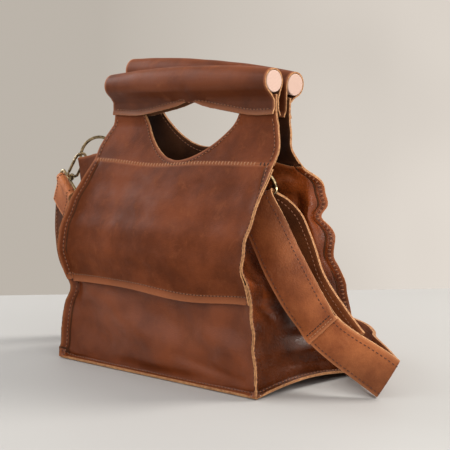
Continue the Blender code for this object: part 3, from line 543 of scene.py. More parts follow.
def flared(guide, away, values, held=1.0):
    # A free edge stands off by a smooth step of the distance to it, waved by a sine of x.
    reach, rise, wave, rate, phase = values
    lift = rise * (1 - ease(away / reach)) * (1 + wave * np.sin(rate * guide[..., 0] + phase)) * held
    return guide + surfaceNormals(guide) * lift[..., None]


softWaves = ((1.0, (55, 0, 31)), (1.0, (0, -47, 83)), (0.6, (131, 89, -97)), (0.35, (211, 0, 173)))


def creased(guide, folds, soft=0.0, hold=0.011, fade=0.012, seed=1.0):
    # Each fold lifts the leather by its height times a bell curve of the distance to a straight line;
    # soft adds slow sine waves. Both die away at the sewn edges.
    lift = np.zeros(guide.shape[:2])
    for start, end, width, height in folds:
        start, way = np.array(start), np.subtract(end, start)
        share = np.clip(((guide - start) @ way) / (way @ way), 0, 1)
        taper = np.sin(math.pi * np.clip(share, 0.06, 0.94)) ** 0.5
        away = np.linalg.norm(guide - start - share[..., None] * way, axis=2)
        lift += height * taper * bellCurve(away, 0, width)
    waves = sum(height * np.sin(guide @ rates + (turn + 1) * seed)
                for turn, (height, rates) in enumerate(softWaves))
    held = ease((np.minimum.reduce(list(edgeDistances(guide).values())) - hold) / fade)
    return guide + surfaceNormals(guide) * ((lift + soft * waves / 3) * held)[..., None]


# Materials.
# Shades multiply a tone's colour from its low level to its high level, in metres up: painted light and shade,
# lighter or darker towards the top.
leatherTones = {
    "panel": {"colour": (0.196, 0.049, 0.0150), "dark": (0.118, 0.028, 0.0075), "worn": (0.400, 0.140, 0.060),
              "rough": (0.50, 0.68), "grain": 900.0, "bump": 0.30, "shine": 0.09},
    "lower": {"colour": (0.210, 0.050, 0.0135), "dark": (0.138, 0.031, 0.0075), "worn": (0.320, 0.098, 0.030),
              "rough": (0.33, 0.45), "grain": 900.0, "bump": 0.28, "shine": 0.24},
    # gusset: darker low down and lighter high up, painted shade and painted light.
    "gusset": {"colour": (0.205, 0.045, 0.009), "dark": (0.080, 0.017, 0.0035), "worn": (0.380, 0.120, 0.040),
               "rough": (0.20, 0.34), "grain": 700.0, "bump": 0.55, "shine": 0.42, "shades": (0.50, 1.75)},
    # sleeve: lighter at its top and darker towards its lower edges, painted light and painted shade.
    "sleeve": {"colour": (0.160, 0.039, 0.0105), "dark": (0.100, 0.023, 0.006), "worn": (0.470, 0.170, 0.070),
               "rough": (0.40, 0.56), "grain": 900.0, "bump": 0.35, "shine": 0.17, "shades": (0.72, 1.32),
               "levels": (0.262, 0.291)},
    # lining: darker towards the top of the back run, painted shade.
    "lining": {"colour": (0.290, 0.086, 0.027), "dark": (0.160, 0.043, 0.013), "worn": (0.400, 0.140, 0.054),
               "rough": (0.55, 0.75), "grain": 950.0, "bump": 0.55, "shine": 0.12, "shades": (1.15, 0.36),
               "levels": (0.04, 0.15)},
    # inside: darker than the flesh side, painted shade inside the bag.
    "inside": {"colour": (0.075, 0.027, 0.011), "dark": (0.040, 0.014, 0.006), "worn": (0.130, 0.050, 0.022),
               "rough": (0.65, 0.85), "grain": 950.0, "bump": 0.45, "shine": 0.08},
    # strap: darker near the floor at the fold's foot and lighter above, painted shade and painted light.
    "strap": {"colour": (0.370, 0.120, 0.041), "dark": (0.215, 0.060, 0.020), "worn": (0.480, 0.190, 0.080),
              "rough": (0.42, 0.60), "grain": 700.0, "bump": 0.60, "shine": 0.16, "shades": (0.70, 1.46),
              "levels": (0.016, 0.050)},
    # strapTop: darker towards the top, painted shade.
    "strapTop": {"colour": (0.350, 0.108, 0.036), "dark": (0.200, 0.054, 0.017), "worn": (0.460, 0.175, 0.072),
                 "rough": (0.38, 0.55), "grain": 700.0, "bump": 0.70, "shine": 0.20, "shades": (1.36, 0.62),
                 "levels": (0.05, 0.175)},
    "flesh": {"colour": (0.125, 0.045, 0.018), "dark": (0.062, 0.021, 0.009), "worn": (0.190, 0.080, 0.038),
              "rough": (0.78, 0.92), "grain": 1500.0, "bump": 0.45, "shine": 0.10},
}
plainTones = {"shades": (1, 1), "levels": (0.03, 0.17)}
hideLook = {"cloud": 21.0, "cloudRange": (0.40, 0.62), "scuff": 62.0, "scuffRange": (0.56, 0.78, 0.0, 0.26),
            "rubRange": (0.0030, 0.0, 0.0, 0.72), "fine": 420.0, "pores": (0.0, 0.5, 1.06, 0.90),
            "gloss": (0.35, 0.68), "reliefDepth": 0.0004}
edgeTones = {"dark": (0.270, 0.105, 0.038), "colour": (0.530, 0.265, 0.110)}
# The brown and dark tones also paint shade into the stitch holes.
threadTones = {"light": (0.500, 0.235, 0.115), "tan": (0.330, 0.130, 0.060), "brown": (0.105, 0.032, 0.015),
               "dark": (0.030, 0.013, 0.009)}
brassTones = {"dark": (0.060, 0.043, 0.027), "worn": (0.47, 0.35, 0.19)}
wood = {"pale": (0.66, 0.46, 0.385), "line": (0.52, 0.34, 0.26), "stretch": (0.06, 1.0, 1.0),
        "heart": (0.0, 0.03, -0.20), "rings": 260.0, "pores": 900.0, "roughness": 0.62}


def newGroup(name, inputs, outputs):
    # A node group from dictionaries of socket names and kinds.
    group = bpy.data.node_groups.new(name, "ShaderNodeTree")
    for way, sockets in (("INPUT", inputs), ("OUTPUT", outputs)):
        for label, kind in sockets.items():
            group.interface.new_socket(label, in_out=way, socket_type="NodeSocket" + kind)
    return group, group.nodes.new("NodeGroupInput").outputs, group.nodes.new("NodeGroupOutput").inputs


def tonesGroup():
    # Colour and roughness of tanned hide: slow clouds between dark and plain, worn spots and rubbed edges,
    # times painted light and shade that go over with the level (lighter or darker towards the top), and a fine
    # cell pattern for the height of the grain.
    floats = ("Grain", "Smooth", "Rough", "Low Shade", "High Shade", "Low Level", "High Level")
    group, given, result = newGroup("hide", {**dict.fromkeys(("Colour", "Dark", "Worn"), "Color"),
                                             **dict.fromkeys(floats, "Float")},
                                    {"Colour": "Color", "Roughness": "Float", "Height": "Float"})
    place = put(group, "TexCoord").outputs["Object"]
    cloud = noise(group, place, hideLook["cloud"], 5.0, Roughness=0.6)
    scuff = noise(group, place, hideLook["scuff"], 6.0, Roughness=0.68, Distortion=0.6)
    rub = put(group, "Attribute", attribute_name="edge").outputs["Fac"]
    grain = put(group, "TexVoronoi", {"Vector": place, "Scale": given["Grain"]}).outputs["Distance"]
    fine = noise(group, place, hideLook["fine"], 3.0)
    base = mixed(group, ranged(group, cloud, *hideLook["cloudRange"]), given["Dark"], given["Colour"])
    spotted = mixed(group, ranged(group, scuff, *hideLook["scuffRange"]), base, given["Worn"])
    rubbed = mixed(group, ranged(group, rub, *hideLook["rubRange"]), spotted, given["Worn"])
    # Painted light and shade: the colour is multiplied by a value that goes from Low Shade at Low Level to High
    # Shade at High Level, times the grain's pores.
    level = put(group, "SeparateXYZ", {0: place}).outputs["Z"]
    paintedLightByLevel = ranged(group, level, *(given[label] for label in floats[5:] + floats[3:5]))
    light = computed(group, paintedLightByLevel, ranged(group, grain, *hideLook["pores"]), "MULTIPLY")
    gloss = ranged(group, scuff, *hideLook["gloss"], given["Smooth"], given["Rough"])
    for label, value in (("Colour", mixed(group, 1.0, rubbed, light, blend_type="MULTIPLY")),
                         ("Roughness", gloss), ("Height", computed(group, grain, fine, "ADD"))):
        group.links.new(value, result[label])
    return group


hideGroup = tonesGroup()


def hideMaterial(name, tones):
    # One kind of leather: the hide group with its own tones and its own painted light and shade by level, and
    # the grain as relief.
    material, tree, shader = newMaterial(name)
    skin = put(tree, "Group", {"Grain": tones["grain"]}, node_tree=hideGroup)
    for label in ("Colour", "Dark", "Worn"):
        skin.inputs[label].default_value = (*tones[label.lower()], 1)
    for key, labels in (("rough", ("Smooth", "Rough")), ("shades", ("Low Shade", "High Shade")),
                        ("levels", ("Low Level", "High Level"))):
        for label, value in zip(labels, {**plainTones, **tones}[key]):
            skin.inputs[label].default_value = value
    bump = put(tree, "Bump", {"Height": skin.outputs["Height"], "Strength": tones["bump"],
                              "Distance": hideLook["reliefDepth"]})
    for value, label in ((skin.outputs["Colour"], "Base Color"), (skin.outputs["Roughness"], "Roughness"),
                         (bump.outputs["Normal"], "Normal")):
        tree.links.new(value, shader.inputs[label])
    shader.inputs["Specular IOR Level"].default_value = tones["shine"]
    return material


def speckledMaterial(name, colours, scale, roughness, bumpStrength, metallic=0.0):
    # Two colours mixed by fine noise, with the same noise as relief: cut edges, thread and old brass.
    return rampMaterial(name, lambda tree, place: noise(tree, place, scale, 4.0, Roughness=0.65), (0.36, 0.62),
                        colours, roughness, metallic, (bumpStrength, 0.0003))


def woodPattern(tree, place):
    # Growth rings about the rod's own line, drawn out into fine lines along its side, times fine pores.
    drawn = put(tree, "Mapping", {"Vector": place, "Scale": wood["stretch"], "Location": wood["heart"]})
    along = drawn.outputs[0]
    ring = put(tree, "TexWave", {"Vector": along, "Scale": wood["rings"], "Distortion": 2.5, "Detail": 3.0,
                                 "Detail Scale": 1.4}, wave_type="RINGS", rings_direction="X").outputs["Fac"]
    return computed(tree, ring, noise(tree, along, wood["pores"], 3.0), "MULTIPLY")


hide = {name: hideMaterial(name + "Leather", tones) for name, tones in leatherTones.items()}
cutEdge = speckledMaterial("cutEdge", edgeTones.values(), 420.0, 0.85, 0.5)
thread = {name: speckledMaterial(name + "Thread", (tuple(0.6 * v for v in tone), tone), 1500.0, 0.7, 0.4)
          for name, tone in threadTones.items()}
oldBrass = speckledMaterial("oldBrass", brassTones.values(), 260.0, 0.29, 0.20, 1.0)
paleWood = rampMaterial("paleWood", woodPattern, (0.0, 0.55), (wood["pale"], wood["line"]), wood["roughness"],
                        relief=(0.15, 0.0002))
print("materials made:", len(bpy.data.materials))


# Sheets of leather and rows of thread.
def newObject(name, vertices, faces, materials):
    # A smooth mesh at the origin.
    mesh = bpy.data.meshes.new(name)
    mesh.from_pydata(vertices.tolist(), [], faces)
    for material in materials:
        mesh.materials.append(material)
    mesh.shade_smooth()
    return linked(name, mesh)


def fitted(piece, bodyName, node):
    # A piece that rides on one body and stands for one solid.
    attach(piece, bodyName)
    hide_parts(node)


def ply(name, guide, near, far, grainSide, fleshSide, plainEdges=(), rub=None):
    # A closed sheet: the guide moved out to the near and far faces, with a rounded rim of raw leather; plain
    # edges have a rim in the grain side's colour instead. A share below 1 in rub widens an edge's rubbed strip.
    rows, columns = guide.shape[:2]
    normals = surfaceNormals(guide)
    nearFace, farFace = ((guide + normals * np.broadcast_to(face, rows)[:, None, None]).reshape(-1, 3)
                         for face in (near, far))
    index = np.arange(rows * columns).reshape(rows, columns)
    quads = np.stack([index[:-1, :-1], index[:-1, 1:], index[1:, 1:], index[1:, :-1]], axis=2).reshape(-1, 4)
    rim = np.concatenate([index[0, :-1], index[:-1, -1], index[-1, :0:-1], index[:0:-1, 0]])
    inner = np.concatenate([index[1, :-1], index[:-1, -2], index[-2, :0:-1], index[:0:-1, 1]])
    flat = guide.reshape(-1, 3)
    outward = unit(flat[rim] - flat[inner])
    thick = np.broadcast_to(np.subtract(far, near), rows)[rim // columns]
    place = np.arange(len(rim))
    frayed = 0.12 + 0.10 * np.sin(2.4 * place) + 0.10 * np.sin(5.3 * place + 1)  # bulge, in thicknesses
    middle = (nearFace[rim] + farFace[rim]) / 2 + outward * (frayed * thick)[:, None]
    ring = 2 * index.size + place
    nextRim, nextRing = np.roll(rim, -1), np.roll(ring, -1)
    rimQuads = np.concatenate([np.column_stack([nextRim + index.size, rim + index.size, ring, nextRing]),
                               np.column_stack([nextRing, ring, rim, nextRim])])
    faces = np.concatenate([quads + index.size, quads[:, ::-1], rimQuads])
    made = newObject(name, np.concatenate([nearFace, farFace, middle]), faces.tolist(),
                     [grainSide, fleshSide, cutEdge])
    sides = np.repeat(["low", "right", "high", "left"], [columns - 1, rows - 1, columns - 1, rows - 1])
    rimKinds = np.where(np.isin(sides, plainEdges), 0, 2)
    kinds = np.concatenate([np.repeat([0, 1], len(quads)), rimKinds, rimKinds])
    made.data.polygons.foreach_set("material_index", kinds.astype(np.int32))
    away = edgeDistances(guide)
    edge = np.minimum.reduce([distance * (rub or {}).get(side, 1.0) for side, distance in away.items()]).ravel()
    edge = np.concatenate([edge, edge, np.zeros(len(rim))])
    made.data.attributes.new("edge", "FLOAT", "POINT").data.foreach_set("value", edge.astype(np.float32))
    uv = np.column_stack([away["left"].ravel(), away["low"].ravel()])
    uv = np.concatenate([uv, uv, uv[rim]])[faces.ravel()]
    made.data.uv_layers.new(name="UVMap").data.foreach_set("uv", uv.astype(np.float32).ravel())
    made.data.set_sharp_from_angle(angle=math.radians(50))
    return made


# Step, length and radius of each kind of stitch. The hole kinds are dark capsules sunk in the stitch holes,
# painted shade.
stitch = {"plain": (0.0042, 0.0028, 0.00044), "hole": (0.0042, 0.0013, 0.00048),
          "lace": (0.0043, 0.0036, 0.00080), "laceHole": (0.0043, 0.0032, 0.00045),
          "joint": (0.0034, 0.0028, 0.00044), "ladder": (0.0041, 0.0040, 0.00050),
          "sides": 6, "rings": 6, "wander": 0.12}


def stitchPattern():
    # One stitch seen from the side: a short thread that rises out of its hole, arches and dives in again.
    share = np.array([-1.0, -0.82, -0.4, 0.4, 0.82, 1.0])
    girth = np.array([0.55, 0.95, 1.0, 1.0, 0.95, 0.55])
    turns = np.linspace(0, 2 * math.pi, stitch["sides"], endpoint=False)
    across = girth[:, None] * np.cos(turns)
    rise = girth[:, None] * np.sin(turns) + (1 - share ** 4 * 1.8)[:, None]
    k = np.arange((stitch["rings"] - 1) * stitch["sides"]).reshape(-1, stitch["sides"])
    beside = np.roll(k, -1, 1)
    quads = np.stack([k, beside, beside + stitch["sides"], k + stitch["sides"]], axis=2).reshape(-1, 4)
    ends = np.array([k[0, ::-1], k[-1] + stitch["sides"]])
    return share, across, rise, quads, ends


def alongRun(steps, values, at):
    # Values between points by straight lines over the length travelled.
    return np.stack([np.interp(at, steps, values[:, k]) for k in range(3)], axis=1)


def stitches(name, runs, tone, bodyName, size="plain", crosswise=False, phase=0.5):
    # Threads set at equal steps along each run of points, phase of a step past its start. crosswise turns them
    # across the run.
    pitch, length, radius = stitch[size]
    share, across, rise, quads, ends = stitchPattern()
    vertices, faces, start = [], [], 0
    for points, normals in runs:
        steps = travelled(points)
        count = max(2, int(steps[-1] / pitch))
        at = (np.arange(count) + phase) * steps[-1] / count
        out = unit(alongRun(steps, normals, at))
        way = unit(alongRun(steps, points, at + pitch / 4) - alongRun(steps, points, at - pitch / 4))
        side = unit(np.cross(out, way))
        way = np.cross(side, out)
        if crosswise:
            way, side = side, -way
        way = unit(way + stitch["wander"] * np.sin(np.arange(count) * 2.399)[:, None] * side)
        side = np.cross(out, way)
        placed = (alongRun(steps, points, at)[:, None, None]
                  + (share * length / 2)[None, :, None, None] * way[:, None, None]
                  + radius * (across[None, :, :, None] * side[:, None, None]
                              + (rise - 0.55)[None, :, :, None] * out[:, None, None]))
        vertices.append(placed.reshape(-1, 3))
        for pattern in (quads, ends):
            offsets = start + np.arange(count) * stitch["rings"] * stitch["sides"]
            faces += (pattern[None] + offsets[:, None, None]).reshape(-1, pattern.shape[1]).tolist()
        start += len(vertices[-1])
    made = newObject(name, np.concatenate(vertices), faces, [thread[tone]])
    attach(made, bodyName)


def sewn(name, runs, tone, bodyName, laced=False):
    # A row of stitches and dark capsules in the holes that they dive into, painted shade in the holes. Laced
    # stitches lie across the seam.
    visible, hole, shadow = ("lace", "laceHole", "brown") if laced else ("plain", "hole", "dark")
    stitches(name + "Stitches", runs, tone, bodyName, visible, laced)
    stitches(name + "Holes", runs, shadow, bodyName, hole, laced, 0.0)


def edgeRun(guide, edge, inset, offset, start=0.0, stop=1.0):
    # A run of stitches beside one edge of a grid, between two shares of its length: each point lies the inset
    # along the grid from the edge and the offset along the normal from the guide. Gives points and directions.
    grid, normals = guide, surfaceNormals(guide)
    if edge in ("left", "right"):
        grid, normals = np.swapaxes(grid, 0, 1), np.swapaxes(normals, 0, 1)
    if edge in ("high", "right"):
        grid, normals = grid[::-1], normals[::-1]
    lines = [k for k, share in enumerate(np.linspace(0, 1, grid.shape[1])) if start <= share <= stop]
    points, out = (np.concatenate([alongRun(travelled(grid[:, k]), field[:, k], [inset]) for k in lines])
                   for field in (grid, normals))
    return points + out * offset, out * (1 if offset >= 0 else -1)


# Body of the bag.
heights = np.concatenate([np.linspace(guideFloor + 1.4 * body["rawEdge"], body["hem"], 6),
                          np.linspace(body["hem"] + body["hemLap"], body["neck"] - body["gap"], 9)])
lowerHeights = heights[heights < body["hem"] + body["hemLap"] + body["gap"]]
upperHeights = heights[heights > body["hem"] - body["gap"]]
ramp = 1 - ease((upperHeights - body["hem"] - body["hemLap"] - body["ply"] / 2) / body["layerRamp"])
secondLayer = alongRows(body["layer"] * ramp, 8)

# Each fold: where it starts and ends, its half width and its height.
folds = {
    "lower": {"front": [
        ((-0.135, -0.066, 0.086), (0.010, -0.066, 0.030), 0.017, 0.0062),
        ((-0.060, -0.066, 0.084), (0.070, -0.066, 0.040), 0.018, -0.0046),
        ((-0.126, -0.066, 0.046), (-0.060, -0.066, 0.018), 0.012, -0.0036),
        ((0.050, -0.066, 0.056), (0.120, -0.066, 0.030), 0.013, 0.0052),
        ((0.030, -0.066, 0.024), (0.116, -0.066, 0.011), 0.0060, -0.0034),
        ((0.078, -0.066, 0.020), (0.100, -0.066, 0.040), 0.0060, 0.0018),
    ], "back": []},
    "upper": {"front": [
        ((-0.070, -0.083, 0.118), (0.020, -0.082, 0.104), 0.014, -0.0012),
        ((-0.020, -0.070, 0.170), (0.085, -0.078, 0.130), 0.018, 0.0010),
        ((-0.110, -0.070, 0.160), (-0.085, -0.078, 0.100), 0.010, -0.0012),
        ((0.060, -0.070, 0.165), (0.100, -0.074, 0.110), 0.012, -0.0010),
    ], "back": [
        ((-0.060, 0.045, 0.120), (0.030, 0.045, 0.110), 0.014, -0.0014),
        ((0.020, 0.040, 0.160), (0.090, 0.040, 0.130), 0.012, 0.0012),
        ((-0.100, 0.040, 0.150), (-0.060, 0.042, 0.100), 0.010, 0.0012),
    ]},
    "gusset": {"right": [
        ((0.132, -0.066, 0.066), (0.126, 0.030, 0.054), 0.0060, 0.0048),
        ((0.134, -0.062, 0.052), (0.126, 0.040, 0.042), 0.0045, -0.0046),
        ((0.134, -0.066, 0.038), (0.130, 0.045, 0.030), 0.0050, 0.0042),
        ((0.134, -0.060, 0.024), (0.132, 0.050, 0.018), 0.0040, -0.0034),
        ((0.126, -0.066, 0.084), (0.110, 0.000, 0.070), 0.0060, -0.0042),
        ((0.122, -0.066, 0.102), (0.100, -0.030, 0.085), 0.0060, 0.0042),
        ((0.121, 0.028, 0.182), (0.114, 0.036, 0.122), 0.0062, 0.0072),
        ((0.106, 0.024, 0.182), (0.100, 0.028, 0.118), 0.0055, -0.0058),
        ((0.124, 0.022, 0.192), (0.096, 0.014, 0.196), 0.0042, -0.0050),
        ((0.100, 0.014, 0.190), (0.062, 0.004, 0.178), 0.0050, 0.0044),
        ((0.096, 0.018, 0.174), (0.058, 0.004, 0.160), 0.0045, -0.0044),
        ((0.088, 0.018, 0.160), (0.056, 0.004, 0.144), 0.0050, 0.0036),
        ((0.116, 0.044, 0.085), (0.086, 0.014, 0.115), 0.0060, 0.0046),
    ], "left": [
        ((-0.130, -0.050, 0.040), (-0.128, 0.050, 0.045), 0.008, 0.0026),
        ((-0.132, -0.050, 0.075), (-0.134, 0.030, 0.085), 0.009, -0.0026),
        ((-0.140, -0.040, 0.120), (-0.142, 0.030, 0.110), 0.009, 0.0024),
        ((-0.150, -0.030, 0.150), (-0.152, 0.020, 0.145), 0.008, -0.0020),
    ]},
    "sleeve": {"front": [
        ((-0.100, -0.028, 0.2640), (-0.010, -0.029, 0.2670), 0.0042, -0.0034),
        ((0.012, -0.029, 0.2680), (0.075, -0.029, 0.2640), 0.0036, -0.0026),
        ((-0.070, -0.0265, 0.2735), (-0.012, -0.0265, 0.2715), 0.0030, 0.0014),
        ((-0.001, -0.029, 0.2600), (0.006, -0.027, 0.2750), 0.0030, -0.0018),
        ((-0.030, -0.027, 0.2590), (-0.052, -0.026, 0.2700), 0.0028, 0.0014),
        ((0.020, -0.027, 0.2590), (0.034, -0.026, 0.2700), 0.0028, 0.0013),
        ((0.074, -0.028, 0.2540), (0.090, -0.027, 0.2700), 0.0036, -0.0014),
        ((-0.098, -0.028, 0.2540), (-0.088, -0.027, 0.2700), 0.0036, 0.0014),
    ], "back": [
        ((-0.080, 0.027, 0.276), (0.020, 0.027, 0.270), 0.0035, -0.0018),
        ((0.000, 0.027, 0.268), (0.014, 0.026, 0.282), 0.0035, -0.0014),
    ]},
}
for side, outward in (("front", -1), ("back", 1)):
    rows = bottomRows(side) + wallRows(side, body["lowerSwell"], lowerHeights)
    lower = creased(refined(wallGuide(rows, outward), 6, 5), folds["lower"][side], body["soft"]["lower"],
                    seed=2.0 + outward)
    lower = seamValleys(puckered(lower, side, outward), ("left", "right", "low"))
    fitted(ply(side + "LowerPanelSkin", lower, *outerFaces, hide["lower"], hide["flesh"], ("high",)),
           "bag", side + "_lower_panel")
    rows = wallRows(side, body["frontSwell"], upperHeights)
    upper = creased(refined(wallGuide(rows, outward), 8, 5), folds["upper"][side], body["soft"]["upper"],
                    seed=4.0 + outward)
    upper = seamValleys(puckered(upper, side, outward), ("left", "right"))
    upper = sagged(sagged(upper, body["hemSag"], body["hem"]), body["neckSag"], body["neck"])
    inside = ease((body["halfWidths"][1] - np.abs(upper[..., 0])) / body["flareFade"])
    upper = flared(upper, edgeDistances(upper)["low"], body["hemFlare"], inside)
    faces = [face + secondLayer for face in outerFaces]
    # The hem's wider light strip is rubbed edge and painted light along the hem's curled edge.
    fitted(ply(side + "PanelSkin", upper, *faces, hide["panel"], hide["flesh"], ("low", "high"),
               {"low": body["hemRubAndLight"]}), "bag", side + "_panel")
    hem = edgeRun(upper, "low", body["hemStitch"], outerFaces[1] + float(secondLayer[0]), 0.03, 0.97)
    sewn(side + "Hem", [hem], "tan", "bag")
    runs = [edgeRun(lower, e, body["stitch"], outerFaces[1], 0.05, 0.86) for e in ("left", "right")]
    runs += [edgeRun(lower, "low", body["stitch"], outerFaces[1], 0.03, 0.97)]
    for points, out in [edgeRun(upper, e, body["stitch"], outerFaces[1]) for e in ("left", "right")]:
        runs.append((points + out * secondLayer[:, None], out))
    sewn(side + "Panel", runs, "tan", "bag")
print("front and back walls made")

for side in ("right", "left"):
    guide = gussetGuide(gusset[side], heights)
    frontEdge, within, frontSeam, backSeam = 0, 1, "left", "right"
    if side == "left":
        guide = (guide * (-1, 1, 1))[:, ::-1]
        frontEdge, within, frontSeam, backSeam = -1, -2, "right", "left"
    guide = creased(refined(guide, 6, 5), folds["gusset"][side], gusset["soft"], gusset["hold"], gusset["fade"],
                    6.0)
    guide = seamValleys(puckered(puckered(guide, "front", -1), "back", 1), ("left", "right", "low"))
    guide[:, frontEdge] += unit(guide[:, frontEdge] - guide[:, within]) * gusset["overhang"]
    fitted(ply(side + "GussetSkin", guide, *outerFaces, hide[gusset[side]["tone"]], hide["flesh"]),
           "bag", side + "_gusset")
    runs = [edgeRun(guide, frontSeam, body["stitch"], outerFaces[1], 0.05, 0.98),
            edgeRun(guide, "low", body["stitch"], outerFaces[1], 0.04, 0.96)]
    sewn(side + "Gusset", runs, "tan", "bag")
    lace = edgeRun(guide, backSeam, body["laceInset"], outerFaces[1], 0.05, 0.98)
    sewn(side + "GussetLace", [lace], "tan", "bag", True)
print("gussets made")

# The base is a flat rectangle that bows up with the floor line at its two ends.
y, x = np.meshgrid(np.linspace(-body["frontDepths"][0], body["backDepths"][0], 33),
                   np.linspace(-body["halfWidths"][0], body["halfWidths"][0], 65), indexing="ij")
base = np.stack([x, y, guideFloor + floorLift(x, y)], axis=2)[::-1]
base = puckered(puckered(base, "front", -1), "back", 1)
fitted(ply("baseSkin", base, *outerFaces, hide["panel"], hide["flesh"]), "bag", "base_panel")

# Handles.
facingFaces = (-0.00112, -innerFace)
yokeFaces = (innerFace, 0.00112)


def repainted(node, material):
    # A solid that is shown as it is, in one material.
    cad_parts[node].data.materials.clear()
    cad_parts[node].data.materials.append(material)


for side, outward in (("front", -1), ("back", 1)):
    handleBody = side + "_handle"
    between = refined(yokeGuide(side, outward), 1, 2)
    between = sagged(puckered(between, side, outward), body["neckSag"], body["neck"])
    yoke = ply(side + "YokeSkin", between, *yokeFaces, hide["panel"], hide["flesh"], ("low",))
    # The facing's inner face takes the inside tone, painted darker for the shade inside the bag.
    facing = ply(side + "YokeFacingSkin", between, *facingFaces, hide["flesh"], hide["inside"])
    for piece, node, slot in ((yoke, "_yoke", "brown_leather"), (facing, "_yoke_facing", "dark_leather")):
        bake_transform(piece)
        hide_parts(side + node)
    wrap = refined(sleeveGuide(side, outward), 2, 2)[::-1]
    wrap = creased(wrap, folds["sleeve"][side], handle["soft"], handle["hold"], handle["fade"])
    away = edgeDistances(wrap)
    wrap = flared(wrap, np.minimum(away["left"], away["right"]), handle["sleeveFlare"])
    half = body["handlePly"] / 2
    # The sleeve tone paints light on its top and shade towards its lower edges.
    fitted(ply(side + "SleeveSkin", wrap, -half, half, hide["sleeve"], hide["flesh"], (),
               dict.fromkeys(("left", "right"), handle["flapRub"])), handleBody, handleBody + "_sleeve")
    flaps = ("left", "right")[::-outward]  # the outer one first
    runs = [edgeRun(wrap, flap, handle["sleeveStitch"], half, 0.02, 0.98) for flap in flaps]
    runs += [edgeRun(between, "high", handle["yokeStitch"], face, 0.16, 0.84)
             for face in (yokeFaces[1], facingFaces[0])]
    runs += [edgeRun(between, e, handle["yokeStitch"], yokeFaces[1], 0.02, 0.72) for e in ("left", "right")]
    sewn(side + "Handle", runs, "tan", handleBody)
    for label, tone, slot, start, stop in (("Ladder", "light", "light_leather", 0.01, 0.94),
                                           ("LadderEnd", "dark", "dark_leather", 0.94, 0.995)):
        ladder = edgeRun(between, "low", handle["ladderInset"], yokeFaces[1], start, stop)
        stitches(side + label + "Stitches", [ladder], tone, "bag", "ladder", True)
    repainted(side + "_dowel", paleWood)
print("handles made")

# Ring tabs and brass.
tab = {"halfWidth": 0.0100, "length": 0.0200, "wire": 0.0017, "clearance": 0.0004}
tabPlaces = {
    "left": {"wire": (-0.15674, -0.00431, 0.19150), "along": (0.9128, 0.4074, 0.0275),
             "up": (-0.0183, -0.0264, 0.9995), "out": (-0.4079, 0.9129, 0.0167)},
    "right": {"wire": (0.07502, -0.00218, 0.16285), "along": (0.8345, 0.5510, 0.0),
              "up": (-0.1380, 0.2090, 0.9681), "out": (0.5334, -0.8079, 0.2505)},
}
for side, values in tabPlaces.items():
    wire, along, rise, out = (np.array(values[k]) for k in ("wire", "along", "up", "out"))
    radius, halfGap = tab["wire"] + tab["clearance"] + body["ply"] / 2, (body["ply"] + body["gap"]) / 2
    section = teardrop(halfGap - radius, halfGap, radius, 2 * radius, (tab["length"], tab["length"]), 17)
    strip = np.array([wire + along * x + section[:, :1] * out + section[:, 1:] * rise
                      for x in np.linspace(-tab["halfWidth"], tab["halfWidth"], 9)])
    strip = strip[::-1] if side == "left" else strip
    # The tabs take the gusset tone, with its painted shade and light by level.
    fitted(ply(side + "RingTabSkin", strip, -body["ply"] / 2, body["ply"] / 2, hide["gusset"], hide["flesh"]),
           "bag", side + "_ring_tab")
    for part in ("_ring", "_eye", "_hook", "_gate"):
        repainted(side + part, oldBrass)
print("ring tabs and brass finished")

# Strap: stations of its middle line, each with the direction across it.
strap = {"width": 0.0380, "ply": 0.0018, "turnLength": 0.0300, "foldRadius": 0.0040, "bend": 0.0042,
         "stitchInsets": (0.0036, 0.0056), "edgeCurl": 0.0006, "crown": 0.0030, "jointShare": 0.3,
         "faces": (innerFace, 0.00150), "rowSteps": 6}
eyeBars = {"left": ((-0.19882, -0.01363, 0.17242), (0.81413, -0.21309, -0.54017)),
           "right": ((0.09612, -0.02180, 0.16922), (0.84992, 0.30143, 0.43218))}
leftHang = (((-0.2060, -0.0130, 0.1200), (0.94, -0.17, -0.12)),
            ((-0.2080, -0.0040, 0.0850), (0.97, -0.10, 0.00)), ((-0.1990, 0.0230, 0.0470), (1.00, 0.00, 0.05)))
floorRun = (((-0.1820, 0.0560), 15), ((-0.1600, 0.0980), 35), ((-0.1120, 0.1350), 58), ((-0.0450, 0.1540), 74),
            ((0.0300, 0.1540), 88), ((0.0980, 0.1240), 98), ((0.1400, 0.0930), 92))
toFoldRun = (((0.1640, 0.0570, 0.0230), (0.20, 0.20, 0.96)), ((0.1950, 0.0310, 0.0200), (0.40, 0.34, 0.85)))
strapFold = {"place": (0.2239, 0.0086, 0.0175), "line": (0.43, 0.30, 0.85), "from": (0.78, -0.62, 0.00)}
frontRun = (((0.1651, -0.0142, 0.0602), (0.74, 0.15, 0.65)), ((0.1311, -0.0220, 0.1103), (0.58, 0.58, 0.56)),
            ((0.1080, -0.0220, 0.1460), (0.76, 0.42, 0.49)))
backRun = (((0.1055, 0.0015, 0.1530), (0.80, 0.25, 0.54)), ((0.1225, 0.0040, 0.1245), (0.79, 0.20, 0.56)),
           ((0.1365, 0.0040, 0.0932), (0.78, 0.18, 0.56)), ((0.1683, 0.0045, 0.0575), (0.73, 0.17, 0.66)),
           ((0.1885, 0.0000, 0.0435), (0.70, 0.15, 0.70)))


def lappedRound(middle, bar, drop):
    # Up in front of a bar, over it and down behind, with the turned end in front.
    middle, bar = np.array(middle), np.array(bar)
    down = unit(np.array([0, 0, -1]) + bar[2] * bar)
    behind = np.cross(bar, down)
    section = teardrop(0, strap["ply"] + body["gap"], strap["bend"], 2 * strap["bend"], (drop, drop), 9)
    section = np.concatenate([section[:1], section[2:3], section[4:15], section[16:17], section[18:]])
    points = middle + section[:, :1] * behind + section[:, 1:] * -down
    return points, np.broadcast_to(bar, points.shape)


